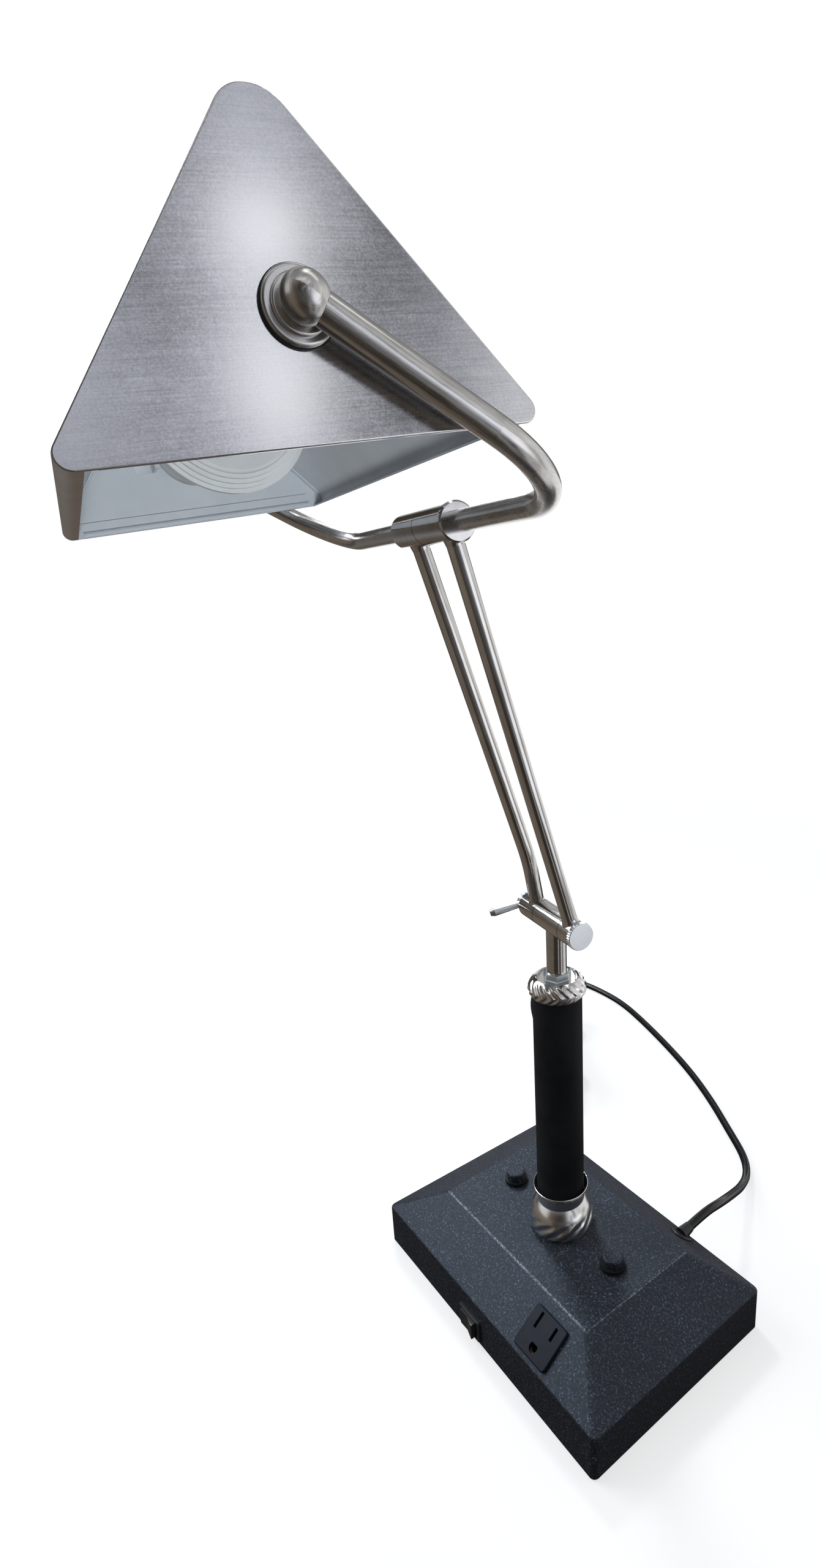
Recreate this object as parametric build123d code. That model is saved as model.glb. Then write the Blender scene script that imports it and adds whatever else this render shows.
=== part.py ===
from build123d import *
import os
from math import atan2, cos, degrees, hypot, radians, sin, sqrt, tan

# Swing arm desk lamp, in millimetres: +Z up, -Y to the user's side, origin under the middle of the base.

# Pose of the joints: the swivel turns about Z, the tilts lean towards the user from upright
swivel_angle = -9.3
arm_tilt = 16.9
yoke_tilt = 63.1
shade_tilt = 9.4

# Base
base_length = 211.5
base_depth = 139.0
wall_top = 28.0
plateau_top = 48.0
plateau_length = 141.0
plateau_depth = 84.0
base_sheet = 1.6
corner_radius = 3.5
plateau_corner_radius = 3.5
crease_radius = 1.6
foot_height = 0.8
foot_radius = 7.0
foot_inset = 13.0
bottom_sheet = 1.5
bottom_clearance = 0.3
weight_side_gap = 13.0
weight_front_gap = 33.5
weight_rear_gap = 9.5
weight_height = 12.0
weight_corner_radius = 8.0
screw_radius = 1.75
screw_head_radius = 3.4
screw_head_depth = 1.2
screw_length = 8.0
screw_inset = 16.0

# Capped studs on the plateau
stud_spacing = 96.0
stud_radius = 2.5
stud_clearance = 0.1
stud_engagement = 9.0
cap_radius = 6.5
cap_height = 5.6
cap_round = 1.6
cap_washer_radius = 8.0
cap_washer_height = 2.6

# Outlet on the front slope
outlet_x = 49.5
outlet_from_crease = 15.1
outlet_width = 26.5
outlet_height = 24.0
outlet_proud = 2.2
outlet_corner_radius = 2.0
outlet_body_width = 24.0
outlet_body_height = 21.0
outlet_depth = 19.0
blade_spacing = 12.7
ground_drop = 11.9
blade_line_rise = 5.6
blade_slot_width = 2.0
neutral_slot_length = 9.0
hot_slot_length = 7.4
ground_radius = 2.9
slot_depth = 14.0
contact_sheet = 0.5
contact_depth = 8.0
contact_setback = 3.0

# Rocker switch in the front wall
switch_x = -5.6
switch_z = 10.6
bezel_width = 21.2
bezel_height = 14.6
bezel_proud = 1.6
bezel_corner_radius = 1.2
switch_body_width = 19.0
switch_body_height = 12.8
switch_body_depth = 17.0
rocker_width = 14.6
rocker_height = 10.4
rocker_clearance = 0.35
rocker_rise = 2.2
rocker_dip = 1.1
rocker_root = 4.0
rocker_pivot_depth = 2.5
rocker_throw = 14.0
rocker_pin_radius = 1.0
rocker_pin_reach = 0.5
terminal_width = 4.8
terminal_sheet = 0.8
terminal_length = 8.0
terminal_spacing = 7.0

# Strain relief on the rear slope
relief_x = 51.0
relief_from_plateau = 21.6
relief_flange_radius = 7.3
relief_flange_height = 1.5
relief_body_radius = 5.4
relief_body_depth = 8.0
relief_neck_radius = 4.4
relief_neck_length = 8.0
relief_neck_rise = 8.0

# Column
pipe_radius = 5.0
pipe_bore_radius = 3.5
pipe_below_plateau = 16.0
pipe_into_stem = 18.0
running_clearance = 0.05
flat_gap = 0.05
foot_ball_bulge = 5.2
foot_ball_centre = 6.5
foot_neck_bulge = 0.2
foot_height_total = 30.0
foot_rim_bulge = 2.6
foot_rim_wall = 0.6
foot_cup_depth = 5.0
tube_radius = 15.0
tube_wall = 1.5
tube_clearance = 0.1
tube_length = 144.0
ring_bulge = 2.5
ring_overlap = 4.6
ring_height = 11.5
ring_lip_inset = 1.9
ring_cup_inset = 2.7
ring_web = 1.5
nut_flats = 14.0
nut_height = 4.0
swivel_nut_flats = 13.0
nut_turn = 20.0
pipe_washer_radius = 10.0
pipe_washer_height = 1.5

# Lower joint
stem_length = 32.45
knuckle_radius = 8.0
middle_knuckle_length = 27.6
left_knuckle_length = 16.6
right_knuckle_length = 10.4
washer_sheet = 0.5
washer_inset = 0.3
stem_wall = 1.0
bolt_radius = 3.0
bolt_head_height = 2.8
bolt_head_overhang = 0.2
bolt_head_chamfer = 0.4
bolt_head_teeth = 36
bolt_tooth_depth = 0.4
lever_hub_radius = 5.2
lever_hub_length = 7.0
lever_reach = 24.0
lever_root_radius = 1.9
lever_tip_radius = 2.7
lever_rise = 6.0
lever_flare = 14.0

# Arm
arm_length = 225.0
rod_radius = 4.4
rod_wall = 1.0
right_rod_inset = 4.95
right_rod_from_seam = 25.2
left_rod_inset = 6.15
left_rod_waist = 10.2
left_rod_waist_height = 38.0
left_rod_from_seam = 16.8
left_rod_bend_radius = 70.0
braze_width = 0.9
braze_height = 2.2

# Upper joint
upper_knuckle_radius = 8.1
upper_left_length = 29.6
upper_right_length = 32.4
upper_seam = -1.5
upper_end_chamfer = 0.8
collar_radius = 8.9
collar_height = 2.4

# Yoke
yoke_radius = 4.75
yoke_wall = 1.2
yoke_bend_radius = 37.0
leg_length = 97.0
ball_radius = 6.6
flange_radius = 10.0
flange_step_radius = 7.8
flange_height = 1.7
flange_step_height = 1.35
flange_clearance = 0.15
pivot_washer_radius = 10.3
pivot_washer_height = 1.0
nipple_radius = 4.0
nipple_bore_radius = 2.8
nipple_inside = 8.5
pivot_nut_flats = 13.0
pivot_nut_height = 4.5
inner_washer_radius = 8.0
inner_washer_height = 1.0

# Shade
shade_length = 254.0
shade_sheet = 0.8
shade_below_pivot = 33.7
shade_half_width = 73.0
shade_apex_sharp = 55.3
shade_apex_radius = 11.0
shade_corner_radius = 4.0
shade_lip = 2.0
gable_flange = 5.0
gable_clearance = 0.1
gable_bead_radius = 1.6
gable_edge_radius = 0.5
gable_hem = 5.6
rivet_radius = 1.6
rivet_head_radius = 2.8
rivet_head_height = 1.0
bracket_width = 13.0
bracket_sheet = 1.2
bracket_standoff = 18.0
bracket_half_span = 17.0
bracket_foot = 8.0
socket_radius = 17.5
socket_length = 52.0
socket_cap_radius = 14.0
socket_cap_height = 5.0
bulb_clearance = 1.45
bulb_length = 92.0
bulb_screw_radius = 13.0
bulb_screw_length = 24.0
bulb_neck_length = 12.0
bulb_neck_radius = 14.5
bulb_rim_height = 16.0
bulb_step = 1.5
bulb_lens_inset = 6.0
bulb_lens_height = 3.0

# Power cord: its free stretch is a list of points, and the rest is a hank that lies behind the column
cord_radius = 3.0
cord_exit_run = 16.0
cord_points = [
    (49.0, 103.0, 34.0), (42.0, 124.5, 23.0), (34.5, 147.0, 12.0), (25.0, 168.0, 5.0), (9.5, 185.0, 3.0),
    (-18.0, 201.0, 3.0), (-53.0, 221.5, 3.0), (-95.0, 242.0, 3.0), (-142.0, 259.5, 3.0),
    (-189.0, 274.5, 3.0), (-228.0, 284.5, 3.0), (-262.0, 286.0, 3.0), (-292.5, 283.0, 3.0),
    (-309.5, 273.0, 3.0), (-319.0, 255.0, 3.0), (-317.0, 235.0, 3.0), (-305.0, 219.0, 3.0),
    (-284.0, 202.0, 3.0), (-246.0, 180.0, 3.0),
]
hank_x = -206.0
hank_y = 171.5
hank_turn = -39.8
hank_reach = 41.0
hank_loop_radius = 19.5
hank_turns = 4
hank_pitch = 6.4
hank_waist = 3.3
hank_waist_length = 14.0
tie_width = 12.0
tie_sheet = 1.2
tail_points = [(-42.0, -16.5, 21.5), (-28.0, -12.0, 25.0), (-14.0, -5.5, 30.8)]
tail_straight = 18.0
plug_start = 18.0
plug_width = 25.0
plug_height = 24.0
plug_length = 33.0
plug_corner_radius = 5.0
plug_relief_length = 20.0
plug_relief_radius = 5.5
plug_blade_length = 17.5
plug_blade_sheet = 1.5
plug_blade_width = 6.4
plug_ground_radius = 2.4
plug_ground_length = 20.5
plug_blade_rise = 4.4

# Heights of the column's stack
foot_top = plateau_top + foot_height_total
tube_bottom = foot_top - foot_cup_depth
tube_top = tube_bottom + tube_length
ring_bottom = tube_top - ring_overlap
ring_top = ring_bottom + ring_height
cup_floor = tube_top + ring_web
stem_bottom = cup_floor + 2 * nut_height + flat_gap
barrel_height = stem_bottom + stem_length

# Frames of the joints, each carried by the one before it
swivel_frame = Pos(0, 0, barrel_height) * Rot(0, 0, swivel_angle)
arm_frame = swivel_frame * Rot(arm_tilt, 0, 0)
yoke_frame = arm_frame * Pos(0, 0, arm_length) * Rot(yoke_tilt - arm_tilt, 0, 0)
shade_frame = yoke_frame * Pos(0, 0, leg_length) * Rot(shade_tilt - yoke_tilt, 0, 0)


# Shared shapes

def bar_x(radius, start, end):
    """Round bar along X between two stations."""
    return Pos((start + end) / 2, 0, 0) * Rot(0, 90, 0) * Cylinder(radius, end - start)


def bar_z(radius, start, end):
    """Round bar along Z between two heights."""
    return Pos(0, 0, (start + end) / 2) * Cylinder(radius, end - start)


def ring_x(radius, bore, start, end):
    return bar_x(radius, start, end) - bar_x(bore, start, end)


def ring_z(radius, bore, start, end):
    return bar_z(radius, start, end) - bar_z(bore, start, end)


def hex_z(flats, bore, start, end):
    """Hexagon nut standing on a height."""
    sketch = RegularPolygon(flats / 2, 6, major_radius=False) - Circle(bore)
    return Pos(0, 0, start) * extrude(sketch, amount=end - start)


def turned(edges):
    """Revolve a closed outline of (radius, height) edges about Z."""
    return revolve(Plane.XZ * make_face(edges), Axis.Z)


def outline(points):
    return Polyline(*points, close=True)


def cap_x(shape):
    """Turn a shape built along Z so that it lies along X."""
    return Rot(0, 90, 0) * shape


def both_ends(shape):
    """A shape at the near end of the yoke with its mirror image at the far end."""
    return Compound(children=[shape, mirror(shape, about=Plane.YZ)])


# Base

front_slope = degrees(atan2(plateau_top - wall_top, (base_depth - plateau_depth) / 2))
slope_length = hypot(plateau_top - wall_top, (base_depth - plateau_depth) / 2)
weight_length = base_length - 2 * weight_side_gap
weight_depth = base_depth - weight_front_gap - weight_rear_gap
weight_shift = (weight_front_gap - weight_rear_gap) / 2
weight_bottom = foot_height + bottom_sheet
weight_top = weight_bottom + weight_height


def hip_block(length, depth, low, crease, top, top_length, top_depth, corner, top_corner):
    """Box with a hipped top that ends in a flat plateau."""
    walls = Pos(0, 0, low) * extrude(RectangleRounded(length, depth, corner), amount=crease - low)
    eaves = Pos(0, 0, crease) * RectangleRounded(length, depth, corner)
    plateau = Pos(0, 0, top) * RectangleRounded(top_length, top_depth, top_corner)
    return walls + loft([eaves, plateau], ruled=True)


def front_slope_frame(x, from_crease):
    """Frame on the front slope: X along the base, Y up the slope, Z out of it."""
    eaves = Pos(x, -base_depth / 2, wall_top)
    return eaves * Rot(front_slope, 0, 0) * Pos(0, from_crease, 0)


def rear_slope_frame(x, from_plateau):
    """Frame on the rear slope: Y down the slope to the rear, Z out of it."""
    return Pos(x, plateau_depth / 2, plateau_top) * Rot(-front_slope, 0, 0) * Pos(0, from_plateau, 0)


outlet_frame = front_slope_frame(outlet_x, outlet_from_crease)
relief_frame = rear_slope_frame(relief_x, relief_from_plateau)
switch_frame = Pos(switch_x, -base_depth / 2, switch_z) * Rot(90, 0, 0)
stud_places = [Pos(side * stud_spacing / 2, 0, 0) for side in (-1, 1)]


def make_base_shell():
    outer = hip_block(base_length, base_depth, foot_height, wall_top, plateau_top,
                      plateau_length, plateau_depth, corner_radius, plateau_corner_radius)
    creases = [e for e in outer.edges() if e.center().Z > wall_top - 0.5 and e.length > 4 * corner_radius
               and abs(e.start_point().Z - e.end_point().Z) < 0.01]
    outer = fillet(creases, crease_radius)
    side_run = (base_length - plateau_length) / 2
    end_run = (base_depth - plateau_depth) / 2
    rise = plateau_top - wall_top
    crease_drop = base_sheet * (hypot(rise, end_run) - rise) / end_run
    side_inset = base_sheet * (hypot(rise, side_run) - side_run) / rise
    end_inset = base_sheet * (hypot(rise, end_run) - end_run) / rise
    inner = hip_block(base_length - 2 * base_sheet, base_depth - 2 * base_sheet, foot_height - 1,
                      wall_top - crease_drop, plateau_top - base_sheet,
                      plateau_length - 2 * side_inset, plateau_depth - 2 * end_inset,
                      corner_radius - base_sheet, plateau_corner_radius - base_sheet / 2)
    shell = outer - inner
    shell -= bar_z(pipe_radius + running_clearance, wall_top, plateau_top + 1)
    for place in stud_places:
        shell -= place * bar_z(stud_radius + stud_clearance, wall_top, plateau_top + 1)
    cut = 4 * base_sheet
    shell -= outlet_frame * Box(outlet_body_width + 2 * bottom_clearance,
                                outlet_body_height + 2 * bottom_clearance, cut)
    shell -= switch_frame * Box(switch_body_width + 2 * bottom_clearance,
                                switch_body_height + 2 * bottom_clearance, cut)
    shell -= relief_frame * Cylinder(relief_body_radius + stud_clearance, cut)
    return shell


def bottom_places(inset):
    """Four places near the corners of the bottom plate."""
    reach_x = base_length / 2 - inset
    reach_y = base_depth / 2 - inset
    return [Pos(sx * reach_x, sy * reach_y, 0) for sx in (-1, 1) for sy in (-1, 1)]


def screw_places():
    """Four screws that run up into the weight."""
    reach_x = weight_length / 2 - screw_inset
    reach_y = weight_depth / 2 - screw_inset
    return [Pos(sx * reach_x, weight_shift + sy * reach_y, 0) for sx in (-1, 1) for sy in (-1, 1)]


def make_bottom_screw():
    head_top = foot_height + screw_head_depth
    head = Pos(0, 0, foot_height) * extrude(Circle(screw_head_radius), amount=screw_head_depth,
                                            taper=degrees(atan2(screw_head_radius - screw_radius,
                                                                screw_head_depth)) * 0.98)
    return head + bar_z(screw_radius, head_top - 0.2, weight_bottom + screw_length)


def make_base_bottom():
    fit = 2 * (base_sheet + bottom_clearance)
    plate = Pos(0, 0, foot_height) * extrude(
        RectangleRounded(base_length - fit, base_depth - fit, corner_radius - base_sheet), amount=bottom_sheet)
    for place in screw_places():
        plate -= place * make_bottom_screw()
    for place in bottom_places(foot_inset):
        plate -= place * make_foot()
    return plate


def make_base_weight():
    block = Pos(0, weight_shift, weight_bottom) * extrude(
        RectangleRounded(weight_length, weight_depth, weight_corner_radius), amount=weight_height)
    for place in stud_places:
        block -= place * bar_z(stud_radius, weight_top - stud_engagement - 1, weight_top + 1)
    for place in screw_places():
        block -= place * bar_z(screw_radius, weight_bottom - 1, weight_bottom + screw_length)
    return block


def make_foot():
    """Rubber bumper pushed through the bottom plate."""
    return bar_z(foot_radius, 0, foot_height + bottom_sheet)


def make_stud():
    return bar_z(stud_radius, weight_top - stud_engagement, plateau_top + cap_washer_height + cap_height / 2)


def make_bolt_cap():
    low = plateau_top + cap_washer_height
    cap = bar_z(cap_radius, low, low + cap_height)
    cap = fillet(cap.edges().group_by(Axis.Z)[-1], cap_round)
    return cap - make_stud()


def make_cap_washer():
    return ring_z(cap_washer_radius, stud_radius + stud_clearance, plateau_top, plateau_top + cap_washer_height)


# Outlet and switch, built with Z out of the surface that they sit in

def outlet_slot(length):
    return Pos(0, 0, outlet_proud - slot_depth / 2) * Box(blade_slot_width, length, slot_depth)


def outlet_holes():
    """Two blade slots and the rounded ground hole below them."""
    neutral = Pos(-blade_spacing / 2, blade_line_rise, 0) * outlet_slot(neutral_slot_length)
    hot = Pos(blade_spacing / 2, blade_line_rise, 0) * outlet_slot(hot_slot_length)
    ground_face = Circle(ground_radius) - Pos(0, 2 * ground_radius * 0.8, 0) * Rectangle(4 * ground_radius,
                                                                                        2 * ground_radius)
    ground = Pos(0, blade_line_rise - ground_drop, outlet_proud - slot_depth) * extrude(
        ground_face, amount=slot_depth)
    return [neutral, hot, ground]


def make_outlet_body():
    plate = extrude(RectangleRounded(outlet_width, outlet_height, outlet_corner_radius), amount=outlet_proud)
    plate = chamfer(plate.edges().group_by(Axis.Z)[-1], outlet_proud / 4)
    body = Pos(0, 0, -outlet_depth / 2) * Box(outlet_body_width, outlet_body_height, outlet_depth)
    shape = plate + body
    for hole in outlet_holes():
        shape -= hole
    return outlet_frame * shape


def make_outlet_contacts():
    """Spring leaves on the inner walls of the slots."""
    middle = outlet_proud - contact_setback - contact_depth / 2
    reach = blade_spacing / 2 + (blade_slot_width - contact_sheet) / 2
    neutral = Pos(-reach, blade_line_rise, middle) * Box(contact_sheet, neutral_slot_length, contact_depth)
    hot = Pos(reach, blade_line_rise, middle) * Box(contact_sheet, hot_slot_length, contact_depth)
    low = blade_line_rise - ground_drop
    ground = Pos(0, low, middle) * (Cylinder(ground_radius, contact_depth)
                                    - Cylinder(ground_radius - contact_sheet, contact_depth))
    ground -= Pos(0, low + ground_radius * 0.8, middle) * Box(4 * ground_radius, ground_radius * 2.4,
                                                              2 * contact_depth)
    return outlet_frame * Compound(children=[neutral, hot, ground])


rocker_opening = rocker_width + 2 * rocker_clearance + 1.1
rocker_axis_z = bezel_proud - rocker_pivot_depth


def make_switch_housing():
    bezel = extrude(RectangleRounded(bezel_width, bezel_height, bezel_corner_radius), amount=bezel_proud)
    bezel = chamfer(bezel.edges().group_by(Axis.Z)[-1], bezel_proud / 4)
    body = Pos(0, 0, -switch_body_depth / 2) * Box(switch_body_width, switch_body_height, switch_body_depth)
    well_depth = bezel_proud + rocker_pivot_depth + rocker_root
    well = Pos(0, 0, bezel_proud - well_depth / 2) * Box(
        rocker_opening, rocker_height + 2 * rocker_clearance, well_depth)
    pins = Pos(0, 0, rocker_axis_z) * Rot(90, 0, 0) * Cylinder(
        rocker_pin_radius + running_clearance, rocker_height + 2 * rocker_clearance + 2 * rocker_pin_reach)
    return switch_frame * (bezel + body - well - pins)


def make_switch_terminals():
    low = -switch_body_depth - terminal_length / 2
    blades = [Pos(step * terminal_spacing, 0, low) * Box(terminal_sheet, terminal_width, terminal_length)
              for step in (-0.5, 0.5)]
    return switch_frame * Compound(children=blades)


def make_switch_rocker():
    """Shallow V paddle on a cross pin, resting with one end pressed in."""
    half = rocker_width / 2
    profile = outline([(-half, rocker_rise), (0, rocker_dip), (half, rocker_rise),
                       (half - 0.5, -rocker_root + 1), (half - 2.5, -rocker_root),
                       (-half + 2.5, -rocker_root), (-half + 0.5, -rocker_root + 1)])
    paddle = extrude(Plane.XZ * make_face(profile), amount=rocker_height / 2, both=True)
    paddle = fillet(paddle.edges().filter_by(Axis.Y).group_by(Axis.Z)[-1], 0.5)
    paddle = Pos(0, 0, rocker_pivot_depth) * paddle
    pin = Rot(90, 0, 0) * Cylinder(rocker_pin_radius, rocker_height + 2 * rocker_clearance + rocker_pin_reach)
    return switch_frame * Pos(0, 0, rocker_axis_z) * Rot(0, -rocker_throw / 2, 0) * (paddle + pin)


# Strain relief

relief_neck_frame = relief_frame * Pos(0, 0, relief_flange_height / 2) * Rot(
    -(90 - front_slope) + relief_neck_rise, 0, 0)


def make_strain_relief():
    flange = Pos(0, 0, relief_flange_height / 2) * Cylinder(relief_flange_radius, relief_flange_height)
    flange = fillet(flange.edges().group_by(Axis.Z)[-1], relief_flange_height / 2)
    body = Pos(0, 0, -relief_body_depth / 2) * Cylinder(relief_body_radius, relief_body_depth)
    neck = extrude(Circle(relief_neck_radius), amount=relief_neck_length,
                   taper=degrees(atan2(relief_neck_radius - cord_radius - 0.4, relief_neck_length)))
    return relief_frame * (flange + body) + relief_neck_frame * neck


# Column, stacked on the plateau

foot_ball_radius = tube_radius + foot_ball_bulge
foot_neck_radius = tube_radius + foot_neck_bulge
foot_rim_radius = tube_radius + foot_rim_bulge
ring_radius = tube_radius + ring_bulge
ring_lip_radius = tube_radius - ring_lip_inset
ring_cup_radius = tube_radius - ring_cup_inset


def make_column_foot():
    centre = plateau_top + foot_ball_centre
    seat = sqrt(foot_ball_radius ** 2 - foot_ball_centre ** 2)
    neck = centre + sqrt(foot_ball_radius ** 2 - foot_neck_radius ** 2)
    bore = pipe_radius + running_clearance
    cup = tube_radius + tube_clearance
    waist = foot_neck_radius + (foot_rim_radius - foot_neck_radius) * 0.22
    edges = Curve() + [
        Line((bore, plateau_top), (seat, plateau_top)),
        ThreePointArc((seat, plateau_top), (foot_ball_radius, centre), (foot_neck_radius, neck)),
        ThreePointArc((foot_neck_radius, neck), (waist, (neck + foot_top) / 2), (foot_rim_radius, foot_top)),
        Line((foot_rim_radius, foot_top), (foot_rim_radius - foot_rim_wall, foot_top)),
        Line((foot_rim_radius - foot_rim_wall, foot_top), (cup, tube_bottom + 1)),
        Line((cup, tube_bottom + 1), (cup, tube_bottom)),
        Line((cup, tube_bottom), (bore, tube_bottom)),
        Line((bore, tube_bottom), (bore, plateau_top)),
    ]
    return turned(edges)


def make_column_tube():
    return ring_z(tube_radius, tube_radius - tube_wall, tube_bottom, tube_top)


def make_column_ring():
    bore = pipe_radius + running_clearance
    socket = tube_radius + tube_clearance
    skirt = socket + 0.8
    belly = ring_bottom + 0.43 * ring_height
    shoulder = ((ring_radius + ring_lip_radius) / 2 + 0.55, ring_bottom + 0.76 * ring_height)
    edges = Curve() + [
        Line((socket, ring_bottom), (skirt, ring_bottom)),
        ThreePointArc((skirt, ring_bottom), (ring_radius - 0.6, ring_bottom + 0.17 * ring_height),
                      (ring_radius, belly)),
        ThreePointArc((ring_radius, belly), shoulder, (ring_lip_radius, ring_top)),
        Line((ring_lip_radius, ring_top), (ring_cup_radius, ring_top - 0.6)),
        Line((ring_cup_radius, ring_top - 0.6), (ring_cup_radius, cup_floor)),
        Line((ring_cup_radius, cup_floor), (bore, cup_floor)),
        Line((bore, cup_floor), (bore, tube_top)),
        Line((bore, tube_top), (socket, tube_top)),
        Line((socket, tube_top), (socket, ring_bottom)),
    ]
    return turned(edges)


def make_lamp_pipe():
    low = plateau_top - base_sheet - pipe_below_plateau
    return ring_z(pipe_radius, pipe_bore_radius, low, stem_bottom + pipe_into_stem)


def make_pipe_washer():
    top = plateau_top - base_sheet
    return ring_z(pipe_washer_radius, pipe_radius, top - pipe_washer_height, top)


def make_lower_nut():
    top = plateau_top - base_sheet - pipe_washer_height
    return hex_z(nut_flats, pipe_radius, top - nut_height, top)


def make_clamp_nut():
    return Rot(0, 0, nut_turn) * hex_z(nut_flats, pipe_radius, cup_floor, cup_floor + nut_height)


def make_swivel_nut():
    low = cup_floor + nut_height
    return Rot(0, 0, nut_turn) * hex_z(swivel_nut_flats, pipe_radius, low, low + nut_height)


# Lower joint, built with the barrel along X and the origin at the swivel axis

stem_radius = pipe_radius + running_clearance + stem_wall
washer_radius = knuckle_radius - washer_inset
bolt_head_radius = knuckle_radius + bolt_head_overhang
middle_end = middle_knuckle_length / 2
side_start = middle_end + flat_gap + washer_sheet
left_end = side_start + left_knuckle_length
right_end = side_start + right_knuckle_length


def make_swivel_stem():
    stem = bar_z(stem_radius, stem_bottom - barrel_height, 0)
    stem -= bar_z(pipe_radius + running_clearance, stem_bottom - barrel_height,
                  stem_bottom - barrel_height + pipe_into_stem + 1)
    knuckle = bar_x(knuckle_radius, -middle_end, middle_end)
    return swivel_frame * (stem + knuckle - bar_x(bolt_radius + running_clearance, -middle_end, middle_end))


def make_lower_left():
    return ring_x(knuckle_radius, bolt_radius, -left_end, -side_start)


def make_lower_right():
    return ring_x(knuckle_radius, bolt_radius, side_start, right_end)


def make_friction_washers():
    near = ring_x(washer_radius, bolt_radius, middle_end + flat_gap, side_start)
    return arm_frame * both_ends(near)


def toothed_disc():
    """Knurled rim of the bolt's head."""
    points = []
    for index in range(2 * bolt_head_teeth):
        radius = bolt_head_radius - bolt_tooth_depth * (index % 2)
        angle = radians(180 * index / bolt_head_teeth)
        points.append((radius * cos(angle), radius * sin(angle)))
    return make_face(outline(points))


def make_pivot_bolt():
    rim_end = right_end + bolt_head_height - bolt_head_chamfer
    rim = Pos(right_end, 0, 0) * cap_x(extrude(toothed_disc(), amount=rim_end - right_end))
    face_radius = bolt_head_radius - bolt_tooth_depth
    face = bar_x(face_radius, rim_end, rim_end + bolt_head_chamfer)
    head = rim + chamfer(face.edges().group_by(Axis.X)[-1], bolt_head_chamfer / 2)
    shank = bar_x(bolt_radius, -left_end - lever_hub_length, right_end)
    return arm_frame * (head + shank)


def make_locking_lever():
    """Clamp nut with a tapered handle that points at the user."""
    hub_start = -left_end - flat_gap
    outer_end = hub_start - lever_hub_length
    hub = ring_x(lever_hub_radius, bolt_radius + running_clearance, outer_end, hub_start)
    middle = outer_end + lever_hub_length / 2
    handle = turned(outline([(0, 0), (lever_root_radius, 0), (lever_tip_radius, lever_reach - lever_tip_radius),
                             (lever_tip_radius * 0.7, lever_reach), (0, lever_reach)]))
    handle = Pos(middle, 0, 0) * Rot(90 - lever_rise, -lever_flare, 0) * handle
    handle -= bar_x(bolt_radius + running_clearance + 1, outer_end, hub_start)
    return arm_frame * (hub + handle)


# Arm rods, coped to the knuckles at both ends

right_rod_low = side_start + right_rod_inset
left_rod_low = side_start + left_rod_inset
right_rod_high = upper_seam + right_rod_from_seam
left_rod_high = left_rod_from_seam - upper_seam


def braze(end, inner, knuckle):
    """Collar of filler where a rod meets its knuckle."""
    low = 0.65 * knuckle
    high = knuckle + braze_height
    collar = Cone(rod_radius + braze_width, rod_radius - rod_wall / 10, high - low)
    collar -= Cylinder(rod_radius - rod_wall / 2, high - low)
    return Plane(end, z_dir=Vector(*inner) - Vector(*end)) * (Pos(0, 0, (low + high) / 2) * collar)


def rod_along(points, bend):
    path = FilletPolyline(*points, radius=bend) if len(points) > 2 else Line(*points)
    start = Vector(*points[0])
    along = Vector(*points[1]) - start
    section = Plane(start, z_dir=along) * (Circle(rod_radius) - Circle(rod_radius - rod_wall))
    rod = sweep(section, path=path)
    rod += braze(points[0], points[1], knuckle_radius)
    rod += braze(points[-1], points[-2], upper_knuckle_radius)
    rod -= bar_x(knuckle_radius, -left_end, right_end)
    rod -= Pos(0, 0, arm_length) * bar_x(upper_knuckle_radius, -upper_left_length, upper_right_length)
    return rod


def make_right_rod():
    return rod_along([(right_rod_low, 0, 0), (right_rod_high, 0, arm_length)], 0)


def make_left_rod():
    return rod_along([(-left_rod_low, 0, 0), (-left_rod_waist, 0, left_rod_waist_height),
                      (-left_rod_high, 0, arm_length)], left_rod_bend_radius)


# Upper joint, built with the barrel along X and the origin at the yoke's axis

def make_upper_left():
    tube = ring_x(upper_knuckle_radius, yoke_radius + running_clearance,
                  upper_seam - upper_left_length, upper_seam - washer_sheet)
    outer_edge = tube.edges().group_by(Axis.X)[0].sort_by(SortBy.RADIUS)[-1]
    return chamfer(outer_edge, upper_end_chamfer)


def make_upper_right():
    return ring_x(upper_knuckle_radius, yoke_radius + running_clearance,
                  upper_seam, upper_seam + upper_right_length)


def make_seam_washer():
    return ring_x(washer_radius, yoke_radius + running_clearance, upper_seam - washer_sheet, upper_seam)


# Yoke, built with the cross tube along X and the legs along Z, wide enough for the shade and its pivots

gable_inner = shade_length / 2
gable_outer = gable_inner + shade_sheet
washer_outer = gable_outer + flat_gap + pivot_washer_height
flange_outer = washer_outer + flange_height + flange_step_height
yoke_half_width = flange_outer + flange_clearance + yoke_radius


def make_yoke_tube():
    path = FilletPolyline((-yoke_half_width, 0, leg_length), (-yoke_half_width, 0, 0),
                          (yoke_half_width, 0, 0), (yoke_half_width, 0, leg_length), radius=yoke_bend_radius)
    section = Pos(-yoke_half_width, 0, leg_length) * (Circle(yoke_radius) - Circle(yoke_radius - yoke_wall))
    tube = sweep(section, path=path)
    for side in (-1, 1):
        tube -= Pos(side * yoke_half_width, 0, leg_length) * Sphere(ball_radius)
    return tube


def make_yoke_collar():
    start = upper_seam + upper_right_length + flat_gap
    collar = ring_x(collar_radius, yoke_radius, start, start + collar_height)
    return chamfer(collar.edges().group_by(Axis.X)[-1].sort_by(SortBy.RADIUS)[-1], upper_end_chamfer)


# Pivots of the shade, built along X with the origin on the pivot axis

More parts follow.
